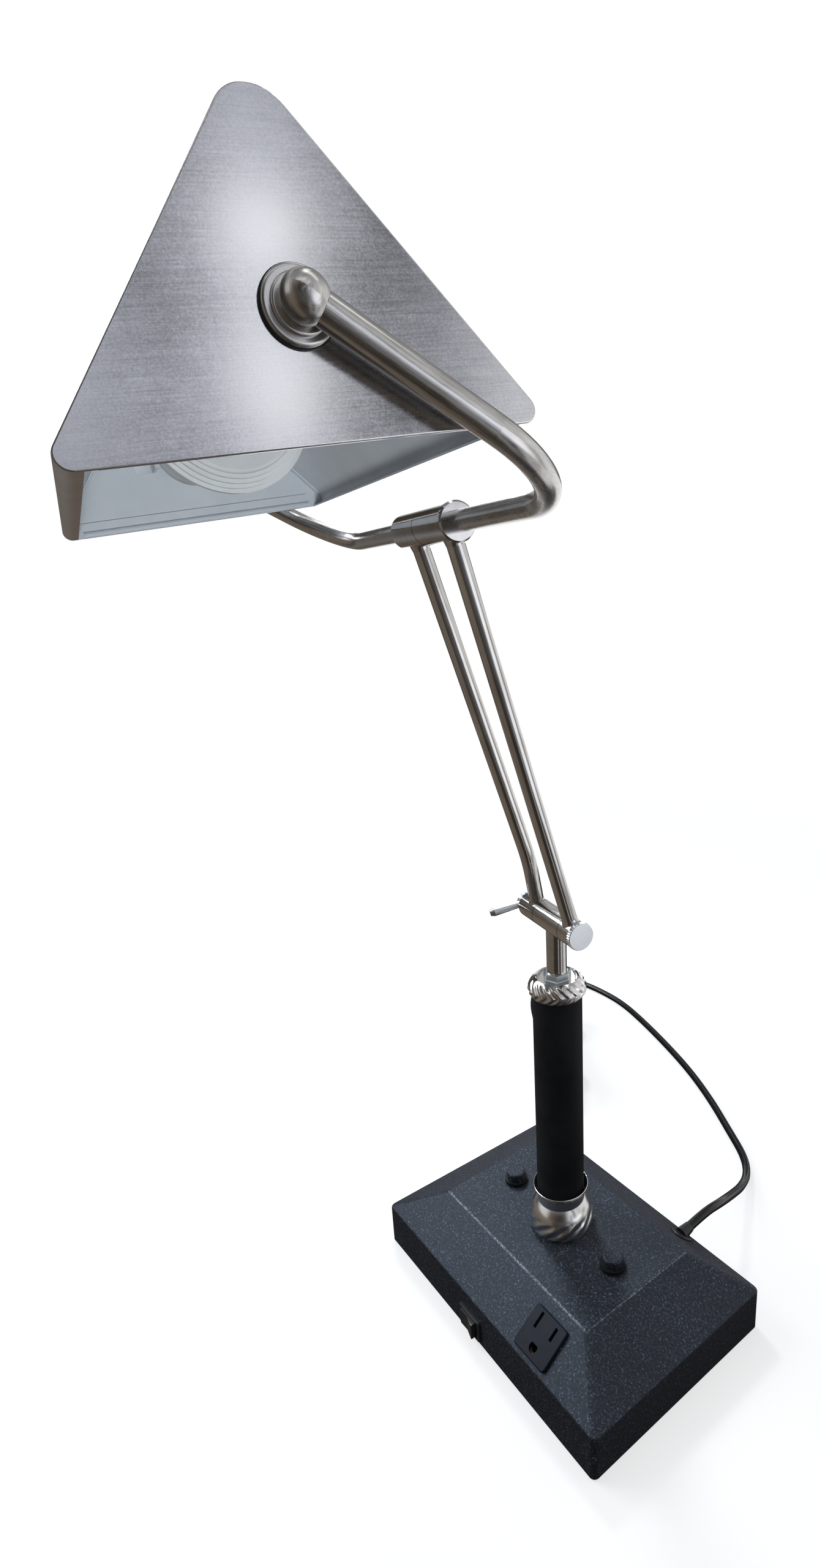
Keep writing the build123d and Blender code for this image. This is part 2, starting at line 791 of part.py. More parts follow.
def make_pivot_ball():
    ball = Pos(yoke_half_width, 0, 0) * Sphere(ball_radius)
    return ball - bar_x(nipple_radius, 0, yoke_half_width)


def make_pivot_flange():
    step_start = washer_outer + flange_height
    flange = bar_x(flange_radius, washer_outer, step_start)
    flange = fillet(flange.edges().group_by(Axis.X)[-1], flange_height * 0.6)
    step = bar_x(flange_step_radius, step_start, flange_outer)
    step = fillet(step.edges().group_by(Axis.X)[-1], flange_step_height * 0.6)
    hollow = Pos(yoke_half_width, 0, 0) * Sphere(ball_radius)
    return flange + step - hollow - bar_x(nipple_radius, 0, yoke_half_width)


def make_pivot_washer():
    return ring_x(pivot_washer_radius, nipple_radius, gable_outer + flat_gap, washer_outer)


def make_nipple():
    return ring_x(nipple_radius, nipple_bore_radius, gable_inner - nipple_inside, yoke_half_width)


def make_inner_washer():
    end = gable_inner - flat_gap
    return ring_x(inner_washer_radius, nipple_radius, end - inner_washer_height, end)


def make_pivot_nut():
    start = gable_inner - flat_gap - inner_washer_height - pivot_nut_height
    return Pos(start, 0, 0) * cap_x(hex_z(pivot_nut_flats, nipple_radius, 0, pivot_nut_height))


# Shade, built with the ridge along X, the rear along Y and the origin on the pivot axis

roof_slope = atan2(shade_apex_sharp + shade_below_pivot, shade_half_width)
eave_run = shade_corner_radius / tan(roof_slope / 2)
eave_rise = shade_corner_radius * (1 + cos(roof_slope))
lip_end = shade_half_width - eave_run - shade_lip


def shade_section(inset):
    """Triangular outline with a rounded apex, moved inwards by a wall."""
    side_shift = inset / sin(roof_slope)
    apex_shift = inset / cos(roof_slope)
    low = -shade_below_pivot
    half = shade_half_width - side_shift
    face = make_face(outline([(-half, low), (half, low), (0, shade_apex_sharp - apex_shift)]))
    apex = face.vertices().sort_by(Axis.Y)[-1]
    return fillet(apex, shade_apex_radius - inset)


def make_shade_roof():
    """One sheet wrapped over the ridge, rolled round the eaves into narrow lips."""
    low = -shade_below_pivot
    lip_top = low + shade_sheet
    inner = shade_half_width - shade_sheet / sin(roof_slope)
    lip_root = inner - shade_sheet / tan(roof_slope)
    right = [(shade_half_width, low), (lip_end, low), (lip_end, lip_top), (lip_root, lip_top)]
    left = [(-across, height) for across, height in reversed(right)]
    ridge = (0, shade_apex_sharp)
    inner_ridge = (0, shade_apex_sharp - shade_sheet / cos(roof_slope))
    sheet = make_face(outline([ridge] + right + [inner_ridge] + left))
    rounds = [(ridge, shade_apex_radius), (inner_ridge, shade_apex_radius - shade_sheet)]
    for side in (-1, 1):
        rounds.append(((side * shade_half_width, low), shade_corner_radius))
        rounds.append(((side * lip_root, lip_top), shade_corner_radius - shade_sheet))
    for corner, radius in rounds:
        sheet = fillet(sheet.vertices().sort_by_distance(corner)[0], radius)
    return extrude(Plane.YZ * sheet, amount=gable_inner, both=True)


def gable_plate():
    face = shade_section(0)
    corners = face.vertices().sort_by(Axis.Y)[:2]
    return fillet(corners, shade_corner_radius)


def make_gable():
    """End plate with a flange inside the roof and a rolled bead on the bottom edge."""
    plate = Pos(gable_inner, 0, 0) * extrude(Plane.YZ * gable_plate(), amount=shade_sheet)
    plate = fillet(plate.edges().group_by(Axis.X)[-1], gable_edge_radius)
    inset = shade_sheet + gable_clearance
    wall = shade_section(inset) - shade_section(inset + shade_sheet)
    floor_cut = -shade_below_pivot + eave_rise
    wall -= Pos(0, floor_cut - shade_half_width) * Rectangle(4 * shade_half_width, 2 * shade_half_width)
    flange = Pos(gable_inner - gable_flange, 0, 0) * extrude(Plane.YZ * wall, amount=gable_flange)
    reach = lip_end - 2 * gable_bead_radius
    bead = Rot(90, 0, 0) * Cylinder(gable_bead_radius, 2 * reach)
    bead = Pos(gable_outer - gable_bead_radius, 0, -shade_below_pivot + gable_bead_radius) * bead
    hem_low = -shade_below_pivot + gable_bead_radius
    hem = Pos(gable_inner - shade_sheet / 2, 0, hem_low + gable_hem / 2) * Box(shade_sheet, 2 * reach, gable_hem)
    hole = bar_x(nipple_radius + running_clearance, gable_inner - gable_flange, gable_outer + 1)
    return plate + flange + bead + hem - hole


# Lampholder and lamp on the far gable, built along X and pointing at the near gable

bracket_face = -gable_inner + bracket_standoff
roof_distance = shade_apex_sharp * cos(roof_slope)
bulb_radius = roof_distance - shade_sheet - bulb_clearance
bulb_lens_radius = bulb_radius - bulb_lens_inset
socket_start = bracket_face + bracket_sheet
socket_front = socket_start + socket_cap_height + socket_length
lamp_back = socket_front - bulb_screw_length
lamp_front = lamp_back + bulb_length
rivet_reach = bracket_half_span + bracket_foot / 2


def make_socket_bracket():
    """Strap that lies level and bridges the pivot nut."""
    outer = bracket_half_span + bracket_sheet
    profile = outline([
        (-gable_inner, outer + bracket_foot), (-gable_inner, bracket_half_span),
        (bracket_face, bracket_half_span), (bracket_face, -bracket_half_span),
        (-gable_inner, -bracket_half_span), (-gable_inner, -outer - bracket_foot),
        (-gable_inner + bracket_sheet, -outer - bracket_foot), (-gable_inner + bracket_sheet, -outer),
        (bracket_face + bracket_sheet, -outer), (bracket_face + bracket_sheet, outer),
        (-gable_inner + bracket_sheet, outer), (-gable_inner + bracket_sheet, outer + bracket_foot)])
    strap = extrude(make_face(profile), amount=bracket_width / 2, both=True)
    for side in (-1, 1):
        strap -= Pos(0, side * (rivet_reach + bracket_sheet), 0) * bar_x(
            rivet_radius, -gable_inner, -gable_inner + bracket_sheet)
    return strap


def make_bracket_rivets():
    rivets = []
    for side in (-1, 1):
        start = -gable_inner + bracket_sheet
        shank = bar_x(rivet_radius, -gable_inner, start)
        head = bar_x(rivet_head_radius, start, start + rivet_head_height)
        head = fillet(head.edges().group_by(Axis.X)[-1], rivet_head_height * 0.6)
        rivets.append(Pos(0, side * (rivet_reach + bracket_sheet), 0) * (shank + head))
    return Compound(children=rivets)


def make_lamp_socket():
    cap = bar_x(socket_cap_radius, socket_start, socket_start + socket_cap_height)
    shell = bar_x(socket_radius, socket_start + socket_cap_height, socket_front)
    shell = fillet(shell.edges().group_by(Axis.X)[-1], 1.5)
    bore = bar_x(bulb_screw_radius, lamp_back, socket_front)
    return cap + shell - bore


def make_bulb_body():
    """Reflector lamp: screw shell, neck, flared body and a stepped rim round the lens."""
    screw_end = lamp_back + bulb_screw_length
    neck_end = screw_end + bulb_neck_length
    rim_start = lamp_front - bulb_rim_height
    lens_back = lamp_front - bulb_lens_height
    steps = 4
    step_length = (bulb_rim_height - bulb_lens_height) / steps
    points = [(0, lamp_back), (bulb_screw_radius, lamp_back), (bulb_screw_radius, screw_end),
              (bulb_neck_radius, screw_end), (bulb_neck_radius, neck_end), (bulb_radius, rim_start)]
    for step in range(steps):
        radius = bulb_radius - step * bulb_step
        end = rim_start + (step + 1) * step_length
        if step > 0:
            points.append((radius, end - step_length))
        points.append((radius, end))
    points += [(bulb_lens_radius, lens_back), (0, lens_back)]
    return cap_x(turned(outline(points)))


def make_bulb_lens():
    lens = bar_x(bulb_lens_radius, lamp_front - bulb_lens_height, lamp_front)
    return fillet(lens.edges().group_by(Axis.X)[-1], bulb_lens_height / 2)


# Power cord, with its hank and plug

hank_frame = Pos(hank_x, hank_y, 0) * Rot(0, 0, hank_turn)
hank_height = hank_turns * hank_pitch
tie_frame = hank_frame * Pos(0, 0, hank_height / 2)
plug_frame = hank_frame * Pos(plug_start, 0, hank_height + plug_height / 2) * Rot(0, 90, 0) * Rot(0, 0, 90)


def cord_tube(points):
    """Tube of straight runs joined by tangent arcs, each as large as its runs allow."""
    points = [Vector(*point) for point in points]
    radii = []
    for before, here, after in zip(points, points[1:], points[2:]):
        shorter = min((here - before).length, (after - here).length)
        turn = (here - before).get_angle(after - here)
        radii.append(0.45 * shorter / tan(radians(turn / 2)))
    path = FilletPolyline(*points, radius=radii)
    section = Plane(points[0], z_dir=points[1] - points[0]) * Circle(cord_radius)
    return sweep(section, path=path)


def make_cord_hank():
    """Outer shape of the wound length: two end loops drawn together at a waist."""
    loop = hank_loop_radius + cord_radius
    waist = Rectangle(hank_waist_length, 2 * (hank_waist + cord_radius))
    shape = waist
    for side in (-1, 1):
        throat = Pos(side * (hank_waist_length + cord_radius) / 2, 0) * Rectangle(
            cord_radius, 2 * (hank_waist + cord_radius))
        end_loop = Pos(side * hank_reach, 0) * Circle(loop)
        shape += make_hull(end_loop.edges() + throat.edges())
    body = extrude(shape, amount=hank_height)
    under_tie = Pos(0, 0, tie_sheet / 2) * Box(tie_width, 4 * loop, tie_sheet)
    return hank_frame * (body - under_tie)


def make_cord_tie():
    width = 2 * (hank_waist + cord_radius)
    outer = Box(tie_width, width + 2 * tie_sheet, hank_height + tie_sheet)
    inner = Box(tie_width, width, hank_height - tie_sheet)
    return tie_frame * (Pos(0, 0, tie_sheet / 2) * (outer - inner))


def outside(tube, hank):
    """The stretch of a tube up to the face of the hank."""
    return (tube - hank).solids().sort_by(SortBy.VOLUME)[-1]


def make_power_cord(hank):
    exit_point = (relief_neck_frame * Pos(0, 0, relief_neck_length)).position
    exit_next = (relief_neck_frame * Pos(0, 0, relief_neck_length + cord_exit_run)).position
    free = cord_tube([exit_point, exit_next] + cord_points)
    tail_end = [(plug_frame * Pos(0, 0, run)).position for run in (-tail_straight, 0)]
    tail = cord_tube([(hank_frame * Pos(*point)).position for point in tail_points] + tail_end)
    return Compound(children=[outside(free, hank), outside(tail, hank)])


def make_plug_body():
    """Moulded plug with a tapered strain relief, built with Z along the blades."""
    relief = Solid.make_cone(cord_radius + 1, plug_relief_radius, plug_relief_length)
    shoulder = Pos(0, 0, plug_relief_length) * Circle(plug_relief_radius)
    grip = Pos(0, 0, plug_relief_length + plug_length / 3) * RectangleRounded(
        plug_width, plug_height, plug_corner_radius)
    front = Pos(0, 0, plug_relief_length + plug_length / 3) * extrude(
        RectangleRounded(plug_width, plug_height, plug_corner_radius), amount=plug_length * 2 / 3)
    return plug_frame * (relief + loft([shoulder, grip]) + front)


def make_plug_blades():
    face = plug_relief_length + plug_length
    blades = [Pos(side * blade_spacing / 2, plug_blade_rise, face + plug_blade_length / 2)
              * Box(plug_blade_sheet, plug_blade_width, plug_blade_length) for side in (-1, 1)]
    pin = bar_z(plug_ground_radius, face, face + plug_ground_length)
    pin = fillet(pin.edges().group_by(Axis.Z)[-1], plug_ground_radius * 0.8)
    return plug_frame * Compound(children=blades + [Pos(0, plug_blade_rise - ground_drop, 0) * pin])


cord_hank = make_cord_hank()
near_gable = make_gable()
upper_frame = arm_frame * Pos(0, 0, arm_length)
pivot_frame = yoke_frame * Pos(0, 0, leg_length)

nodes = {
    "base_shell": make_base_shell(),
    "base_bottom": make_base_bottom(),
    "base_weight": make_base_weight(),
    "rubber_feet": Compound(children=[place * make_foot() for place in bottom_places(foot_inset)]),
    "bottom_screws": Compound(children=[place * make_bottom_screw() for place in screw_places()]),
    "bolt_caps": Compound(children=[place * make_bolt_cap() for place in stud_places]),
    "bolt_washers": Compound(children=[place * make_cap_washer() for place in stud_places]),
    "base_studs": Compound(children=[place * make_stud() for place in stud_places]),
    "outlet_body": make_outlet_body(),
    "outlet_contacts": make_outlet_contacts(),
    "switch_housing": make_switch_housing(),
    "switch_terminals": make_switch_terminals(),
    "switch_rocker": make_switch_rocker(),
    "strain_relief": make_strain_relief(),
    "power_cord": make_power_cord(cord_hank),
    "cord_hank": cord_hank,
    "cord_tie": make_cord_tie(),
    "plug_body": make_plug_body(),
    "plug_blades": make_plug_blades(),
    "column_foot": make_column_foot(),
    "column_tube": make_column_tube(),
    "column_ring": make_column_ring(),
    "lamp_pipe": make_lamp_pipe(),
    "pipe_washer": make_pipe_washer(),
    "pipe_nut": make_lower_nut(),
    "clamp_nut": make_clamp_nut(),
    "swivel_nut": make_swivel_nut(),
    "swivel_stem": make_swivel_stem(),
    "lower_knuckle_left": arm_frame * make_lower_left(),
    "lower_knuckle_right": arm_frame * make_lower_right(),
    "friction_washers": make_friction_washers(),
    "pivot_bolt": make_pivot_bolt(),
    "locking_lever": make_locking_lever(),
    "arm_rod_left": arm_frame * make_left_rod(),
    "arm_rod_right": arm_frame * make_right_rod(),
    "upper_knuckle_left": upper_frame * make_upper_left(),
    "upper_knuckle_right": upper_frame * make_upper_right(),
    "seam_washer": upper_frame * make_seam_washer(),
    "yoke_collar": yoke_frame * make_yoke_collar(),
    "yoke_tube": yoke_frame * make_yoke_tube(),
    "pivot_balls": pivot_frame * both_ends(make_pivot_ball()),
    "pivot_flanges": pivot_frame * both_ends(make_pivot_flange()),
    "pivot_washers": pivot_frame * both_ends(make_pivot_washer()),
    "pivot_nipples": pivot_frame * both_ends(make_nipple()),
    "pivot_nuts": pivot_frame * both_ends(make_pivot_nut()),
    "inner_washers": pivot_frame * both_ends(make_inner_washer()),
    "shade_roof": shade_frame * make_shade_roof(),
    "shade_gable_near": shade_frame * near_gable,
    "shade_gable_far": shade_frame * mirror(near_gable, about=Plane.YZ),
    "socket_bracket": shade_frame * make_socket_bracket(),
    "bracket_rivets": shade_frame * make_bracket_rivets(),
    "lamp_socket": shade_frame * make_lamp_socket(),
    "bulb_body": shade_frame * make_bulb_body(),
    "bulb_lens": shade_frame * make_bulb_lens(),
}

os.makedirs("parts", exist_ok=True)
for name, shape in nodes.items():
    export_step(shape, f"parts/{name}.step")
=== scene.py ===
from math import asin, atan2, cos, pi, radians, sin

import bmesh
import bpy
from mathutils import Matrix, Vector


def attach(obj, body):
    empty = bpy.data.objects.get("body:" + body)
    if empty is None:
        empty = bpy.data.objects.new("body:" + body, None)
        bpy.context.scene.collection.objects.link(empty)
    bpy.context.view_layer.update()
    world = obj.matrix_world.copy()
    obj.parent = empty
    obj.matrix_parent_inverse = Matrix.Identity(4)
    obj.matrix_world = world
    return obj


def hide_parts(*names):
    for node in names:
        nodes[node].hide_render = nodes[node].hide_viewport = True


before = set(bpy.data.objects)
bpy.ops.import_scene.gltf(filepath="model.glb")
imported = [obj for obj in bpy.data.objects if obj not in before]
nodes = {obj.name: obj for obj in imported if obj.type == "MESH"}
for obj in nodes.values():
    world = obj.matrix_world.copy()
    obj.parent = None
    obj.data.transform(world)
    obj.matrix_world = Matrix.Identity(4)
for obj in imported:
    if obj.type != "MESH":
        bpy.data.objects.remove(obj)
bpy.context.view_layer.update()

MM = 0.001

# Camera, at the photograph's place: millimetres, degrees, and a focal length for a 36 mm long side
camera_place = (325.6, -271.6, 443.5)
camera_azimuth = 50.67
camera_down = 15.25
camera_roll = -1.18
camera_lens = 18.014
camera_sensor = 36.0
camera_shift = (-0.0872, 0.0145)
camera_clip = (0.01, 50)

# Strip lights over the lamp in metres and watts, each turned inwards to a share of its own distance
strip_places = {
    "strip_left": (-0.95, 0.25, 1.85),
    "strip_middle": (-0.35, 0.25, 1.90),
    "strip_right": (0.35, 0.30, 1.85),
}
strip_size = (0.24, 1.1)
strip_power = 1.6
strip_aim_share = 0.3
strip_aim_forward = 0.05
strip_aim_height = 0.2

# Other lights: place, aim and size in metres, power in watts and beam in degrees
white = (1.0, 1.0, 1.0)
daylight = (0.84, 0.92, 1.0)
base_aim = (0.0, 0.0, 0.05)
gable_aim = (0.10, -0.17, 0.53)
softboxes = {
    "left_softbox": {"place": (-1.02, -0.68, 1.15), "aim": base_aim, "size": (0.8, 0.8), "power": 13.5,
                     "colour": daylight},
    "back_softbox": {"place": (-0.93, 0.32, 1.30), "aim": base_aim, "size": (0.22, 0.22), "power": 8.0,
                     "colour": daylight},
    "front_strip": {"place": (0.66, -0.55, 1.49), "aim": (0.0, 0.0, 0.26), "size": (1.2, 0.08),
                    "power": 0.8},
    "gable_glint": {"place": (1.50, -0.075, 1.06), "aim": gable_aim, "size": (0.14, 0.10), "power": 0.09},
    "gable_glow": {"place": (1.57, -0.065, 0.83), "aim": gable_aim, "size": (0.16, 0.20), "power": 0.12},
    "shade_fill": {"place": (0.70, -0.35, 0.12), "aim": (-0.11, -0.13, 0.51), "size": (0.30, 0.30),
                   "power": 0.30, "colour": daylight, "mirrored": False, "beam": 40},
}

# Room that only shiny surfaces see. Each stop has a share of a turn, where a half is towards the camera,
# a brightness and a tint.
plain = (1.0, 1.0, 1.01)
warm = (1.06, 0.88, 0.72)
cool = (0.93, 0.97, 1.10)
room_strength = 1.4
walls_tones = [
    (0.000, 0.60, plain), (0.035, 0.50, plain), (0.055, 0.05, warm), (0.170, 0.06, warm),
    (0.210, 0.55, plain), (0.250, 0.85, plain), (0.330, 0.75, plain), (0.370, 0.15, warm),
    (0.440, 0.06, warm), (0.490, 0.03, warm), (0.540, 0.08, plain), (0.570, 0.60, cool),
    (0.588, 1.05, cool), (0.598, 0.10, cool), (0.606, 0.42, cool), (0.613, 0.70, cool),
    (0.619, 1.25, cool), (0.624, 1.15, cool), (0.628, 0.30, cool), (0.635, 0.08, cool),
    (0.648, 0.26, cool), (0.658, 0.75, cool), (0.668, 1.10, plain), (0.700, 0.60, plain),
    (0.740, 0.95, plain), (0.880, 0.90, plain), (0.915, 0.10, plain), (0.965, 0.10, plain),
    (1.000, 0.60, plain),
]
horizon_tones = [
    (0.000, 1.40, plain), (0.050, 1.40, plain), (0.060, 0.10, warm), (0.100, 0.14, warm),
    (0.130, 0.26, plain), (0.145, 0.08, warm), (0.165, 0.07, warm), (0.200, 0.20, warm),
    (0.400, 0.20, warm), (0.430, 0.06, warm), (0.540, 0.12, plain), (0.575, 0.24, plain),
    (0.595, 0.42, cool), (0.612, 0.85, cool), (0.625, 1.60, cool), (0.700, 1.60, plain),
    (0.735, 0.42, plain), (0.762, 0.42, plain), (0.790, 1.00, plain), (0.900, 1.20, plain),
    (1.000, 1.40, plain),
]
floor_tones = [
    (0.000, 0.06, plain), (0.060, 0.08, warm), (0.090, 0.20, warm), (0.400, 0.17, warm),
    (0.430, 0.05, warm), (0.540, 0.05, warm), (0.550, 0.42, plain), (0.570, 0.42, plain),
    (0.582, 0.07, plain), (0.628, 0.08, plain), (0.642, 0.72, plain), (0.672, 0.70, plain),
    (0.685, 0.32, plain), (0.722, 0.34, plain), (0.738, 0.97, plain), (0.828, 0.97, plain),
    (0.852, 0.06, plain), (1.000, 0.06, plain),
]
near_floor_tone = (0.055, 0.047, 0.042)
ceiling_tone = (0.22, 0.22, 0.225)

# Rise of a ray where the horizon gives way to the walls, and the walls to the ceiling
walls_rise = (0.09, 0.12)
ceiling_rise = (0.45, 0.85)

# Soft light of the world on everything that isn't shiny, from level to overhead
soft_colour = (0.90, 0.95, 1.0)
soft_strength = (0.08, 0.60)

# Floor in metres: its size, then the distances from the lamp where one tone gives way to the next
floor_radius = 12.0
floor_sides = 96
floor_drop = 0.0003
near_floor_reach = (0.17, 0.24)
horizon_reach = (0.75, 1.0)
backdrop_reach = (0.45, 1.3)

# Floor's greys: what it throws back onto the lamp, what the eye sees lit, and the glow under that
floor_bounce = 0.12
floor_grey = 0.38
floor_glow = 0.66

# Frames of the lamp's parts: origin in millimetres and lean in degrees, all but the upright one turned with
# the barrel
barrel_turn = -9.3
lower_joint = ((0.0, 0.0, 259.0), 0.0)
arm_joint = ((0.0, 0.0, 259.0), 16.9)
yoke_joint = ((-10.57, -64.55, 474.28), 63.1)
shade_joint = ((-24.55, -149.92, 518.17), 9.4)
upright = ((0.0, 0.0, 0.0), 0.0)

# Usual span of a noise texture
noise_span = (0.3, 0.7)

# Sand coat of the base: sizes in millimetres, tones from the pits of the grain to its specks
coat_tint = (0.74, 0.85, 1.0)
coat_grain_size = 1.1
coat_fine_size = 0.37
coat_cloud_size = 38.0
coat_grain_share = 0.75
coat_tones = [
    (0.36, (0.003, 0.0033, 0.0044)), (0.5, (0.0095, 0.0106, 0.0142)),
    (0.60, (0.034, 0.040, 0.055)), (0.68, (0.155, 0.178, 0.238)),
]
coat_clouds = (0.86, 1.14)
coat_roughness = (0.46, 0.62)

# Base sizes that the coat's paler creases follow, in millimetres; the creases carry wear and a painted
# highlight
plateau_half_length = 70.5
plateau_half_depth = 42.0
plateau_top = 48.0

# Creases paler with wear and a painted highlight: half widths in millimetres, then how far the grain lets the
# paler colour show
wear_and_highlight_width = (0.25, 0.9)
side_wear_and_highlight_loss = 0.4
wear_and_highlight_share = (0.1, 0.8)
wear_and_highlight_grain = (0.42, 0.62)
wear_and_highlight_colour = (0.30, 0.32, 0.36)

# Mouldings and paints: cloud size in millimetres, shares of the colour, roughness either side of the gloss
moulding_cloud_size = 22.0
moulding_dark = 0.75
moulding_light = 1.3
moulding_smoother = 0.06
moulding_rougher = 0.08

# Plated metal: cloud size in millimetres, share of the brush lines, and roughness either side of the gloss
metal_cloud_size = 16.0
metal_line_share = 0.6
metal_tone_span = (0.32, 0.68)
metal_streak = 0.05
nickel_dark = (0.42, 0.405, 0.385)
nickel_light = (0.66, 0.65, 0.63)

# Shade: brushed nickel outside and enamel inside, sizes in millimetres
shade_grain_size = 0.55
shade_cloud_size = 34.0
shade_line_share = 0.5
shade_brush_share = 0.55
shade_tones = [(0.34, (0.40, 0.39, 0.385)), (0.52, (0.56, 0.555, 0.56)), (0.68, (0.70, 0.695, 0.70))]
satin_roughness = (0.13, 0.24)
enamel_dark = (0.66, 0.68, 0.70)
enamel_light = (0.76, 0.77, 0.785)
enamel_roughness = 0.4

# Bulb, sizes in millimetres
bulb_cloud_size = 20.0
bulb_grain_size = 0.6
bulb_dark = (0.70, 0.69, 0.66)
bulb_light = (0.80, 0.79, 0.77)
bulb_roughness = (0.28, 0.42)

# Column sizes that the ring and the foot share, in millimetres
bore_radius = 5.05
socket_radius = 15.1
tube_bottom = 73.0
tube_top = 217.0

# Half section of the ring: radius and height in millimetres, from its lower edge up the outside
ring_bottom = (15.9, 212.4)
ring_low_side = (16.9, 214.355)
ring_belly = (17.5, 217.345)
ring_high_side = (15.85, 221.14)
ring_top = (13.1, 223.9)
ring_low_steps = 14
ring_high_steps = 18
recess_radius = 12.3
recess_top = 223.3
recess_floor = 218.5

# Half section of the foot: ball, neck, flared cup and rounded lip
foot_bottom = (19.126, plateau_top)
foot_belly = (20.2, 54.5)
foot_neck = (15.2, 67.804)
foot_flare = (15.728, 72.902)
foot_rim = (17.6, 77.7)
foot_lip = (17.3, 78.0)
foot_lip_inside = (17.0, 77.7)
foot_ball_steps = 72
foot_flare_steps = 12
foot_lip_steps = 6
cup_bottom = 74.0

# Flutes: their number, slant in radians per millimetre away from a middle height, the heights where they
# rise and fade, and their depth in millimetres
ring_flutes = {"count": 20, "lean": 1.2, "middle": ring_belly[1], "heights": (212.6, 214.4, 221.5, 223.8),
               "depth": 0.36}
foot_flutes = {"count": 12, "lean": 0.75, "middle": 66.0, "heights": (48.2, 50.0, 55.5, 61.0),
               "depth": 0.60}
flute_steps = 18
flute_sharp_angle = 35

# Power cord: length in metres, the rest in millimetres, with its route from the strain relief to the hank
cord_radius = 3.0
cord_curve_steps = 6
cord_round_steps = 5
cord_order = 3
cord_exit = (51.0, 67.8, 37.0)
cord_route = [
    cord_exit, (51.0, 83.7, 39.2),
    (49.0, 103.0, 34.0), (42.0, 124.5, 23.0), (34.5, 147.0, 12.0), (25.0, 168.0, 5.0), (9.5, 185.0, 3.0),
    (-18.0, 201.0, 3.0), (-53.0, 221.5, 3.0), (-95.0, 242.0, 3.0), (-142.0, 259.5, 3.0),
    (-189.0, 274.5, 3.0), (-228.0, 284.5, 3.0), (-262.0, 286.0, 3.0), (-292.5, 283.0, 3.0),
    (-309.5, 273.0, 3.0), (-319.0, 255.0, 3.0), (-317.0, 235.0, 3.0), (-305.0, 219.0, 3.0),
    (-284.0, 202.0, 3.0), (-246.0, 180.0, 3.0),
]

# Hank of spare cord, a figure of eight with a tied waist: its place in millimetres, its turn in degrees, then
# sizes in its own frame and the share of a layer that each point of the far loop has climbed
hank_place = (-206.0, 171.5)
hank_turn = -39.8
hank_entry = (-22.3, -12.0)
hank_reach = 41.0
hank_loop_radius = 19.5
hank_waist = 3.3
hank_waist_length = 14.0
hank_waist_points = 2
hank_turns = 4
hank_pitch = 6.4
hank_loop_points = 6
hank_climb = [0.0, 0.0, 0.0, 0.0, 0.3, 0.7, 1.0, 1.0, 1.0, 1.0]
tie_lift = 1.2
cord_tail = [(-28.0, -12.0, 29.5), (-14.0, -5.5, 32.0), (0.0, 0.0, 37.6), (18.0, 0.0, 37.6)]


# Camera and light

def set_camera():
    data = bpy.data.cameras.new("photo_camera")
    data.lens = camera_lens
    data.sensor_width = camera_sensor
    data.shift_x, data.shift_y = camera_shift
    data.clip_start, data.clip_end = camera_clip
    camera = bpy.data.objects.new("photo_camera", data)
    bpy.context.scene.collection.objects.link(camera)
    aim = (Matrix.Rotation(radians(camera_azimuth), 4, "Z")
           @ Matrix.Rotation(radians(90 - camera_down), 4, "X")
           @ Matrix.Rotation(radians(camera_roll), 4, "Z"))
    camera.matrix_world = Matrix.Translation(Vector(camera_place) * MM) @ aim
    bpy.context.scene.camera = camera


def add_softbox(name, place, aim, size, power, colour=white, mirrored=True, beam=180):
    """Area light at a place, turned to a point."""
    data = bpy.data.lights.new(name, "AREA")
    data.shape = "RECTANGLE"
    data.size, data.size_y = size
    data.energy = power
    data.color = colour
    data.spread = radians(beam)
    lamp = bpy.data.objects.new(name, data)
    lamp.visible_glossy = mirrored
    bpy.context.scene.collection.objects.link(lamp)
    lamp.location = place
    lamp.rotation_euler = (Vector(aim) - Vector(place)).to_track_quat("-Z", "Y").to_euler()


# Node helpers

def solid(colour):
    """A colour with full cover, from three parts or one grey."""
    red, green, blue = colour if isinstance(colour, tuple) else (colour, colour, colour)
    return red, green, blue, 1.0


def add(tree, kind, inputs=None, **settings):
    """A new node with its settings and unlinked inputs."""
    node = tree.nodes.new(kind)
    for name, value in settings.items():
        setattr(node, name, value)
    for name, value in (inputs or {}).items():
        node.inputs[name].default_value = value
    return node


def join(tree, source, target):
    tree.links.new(source, target)


def calc(tree, operation, first, second=None, third=None):
    """Math node fed by sockets or plain numbers."""
    node = add(tree, "ShaderNodeMath", operation=operation)
    for index, value in enumerate((first, second, third)):
        if value is None:
            continue
        if isinstance(value, (int, float)):
            node.inputs[index].default_value = value
        else:
            join(tree, value, node.inputs[index])
    return node.outputs[0]


def weigh(tree, share, first, second):
    """Mix of two values, where the share belongs to the first."""
    first_part = calc(tree, "MULTIPLY", first, share)
    second_part = calc(tree, "MULTIPLY", second, 1 - share)
    return calc(tree, "ADD", first_part, second_part)


def ramp(tree, source, stops):
    """Colour ramp from (position, colour) stops."""
    node = add(tree, "ShaderNodeValToRGB")
    elements = node.color_ramp.elements
    while len(elements) < len(stops):
        elements.new(0.5)
    for element, (position, colour) in zip(elements, stops):
        element.position = position
        element.color = solid(colour)
    join(tree, source, node.inputs["Fac"])
    return node.outputs["Color"]


def spread(tree, source, ends, span=(0.0, 1.0)):
    """Map a value's span to two ends, held there beyond the span."""
    node = add(tree, "ShaderNodeMapRange")
    node.inputs["From Min"].default_value, node.inputs["From Max"].default_value = span
    node.inputs["To Min"].default_value, node.inputs["To Max"].default_value = ends
    join(tree, source, node.inputs["Value"])
    return node.outputs["Result"]


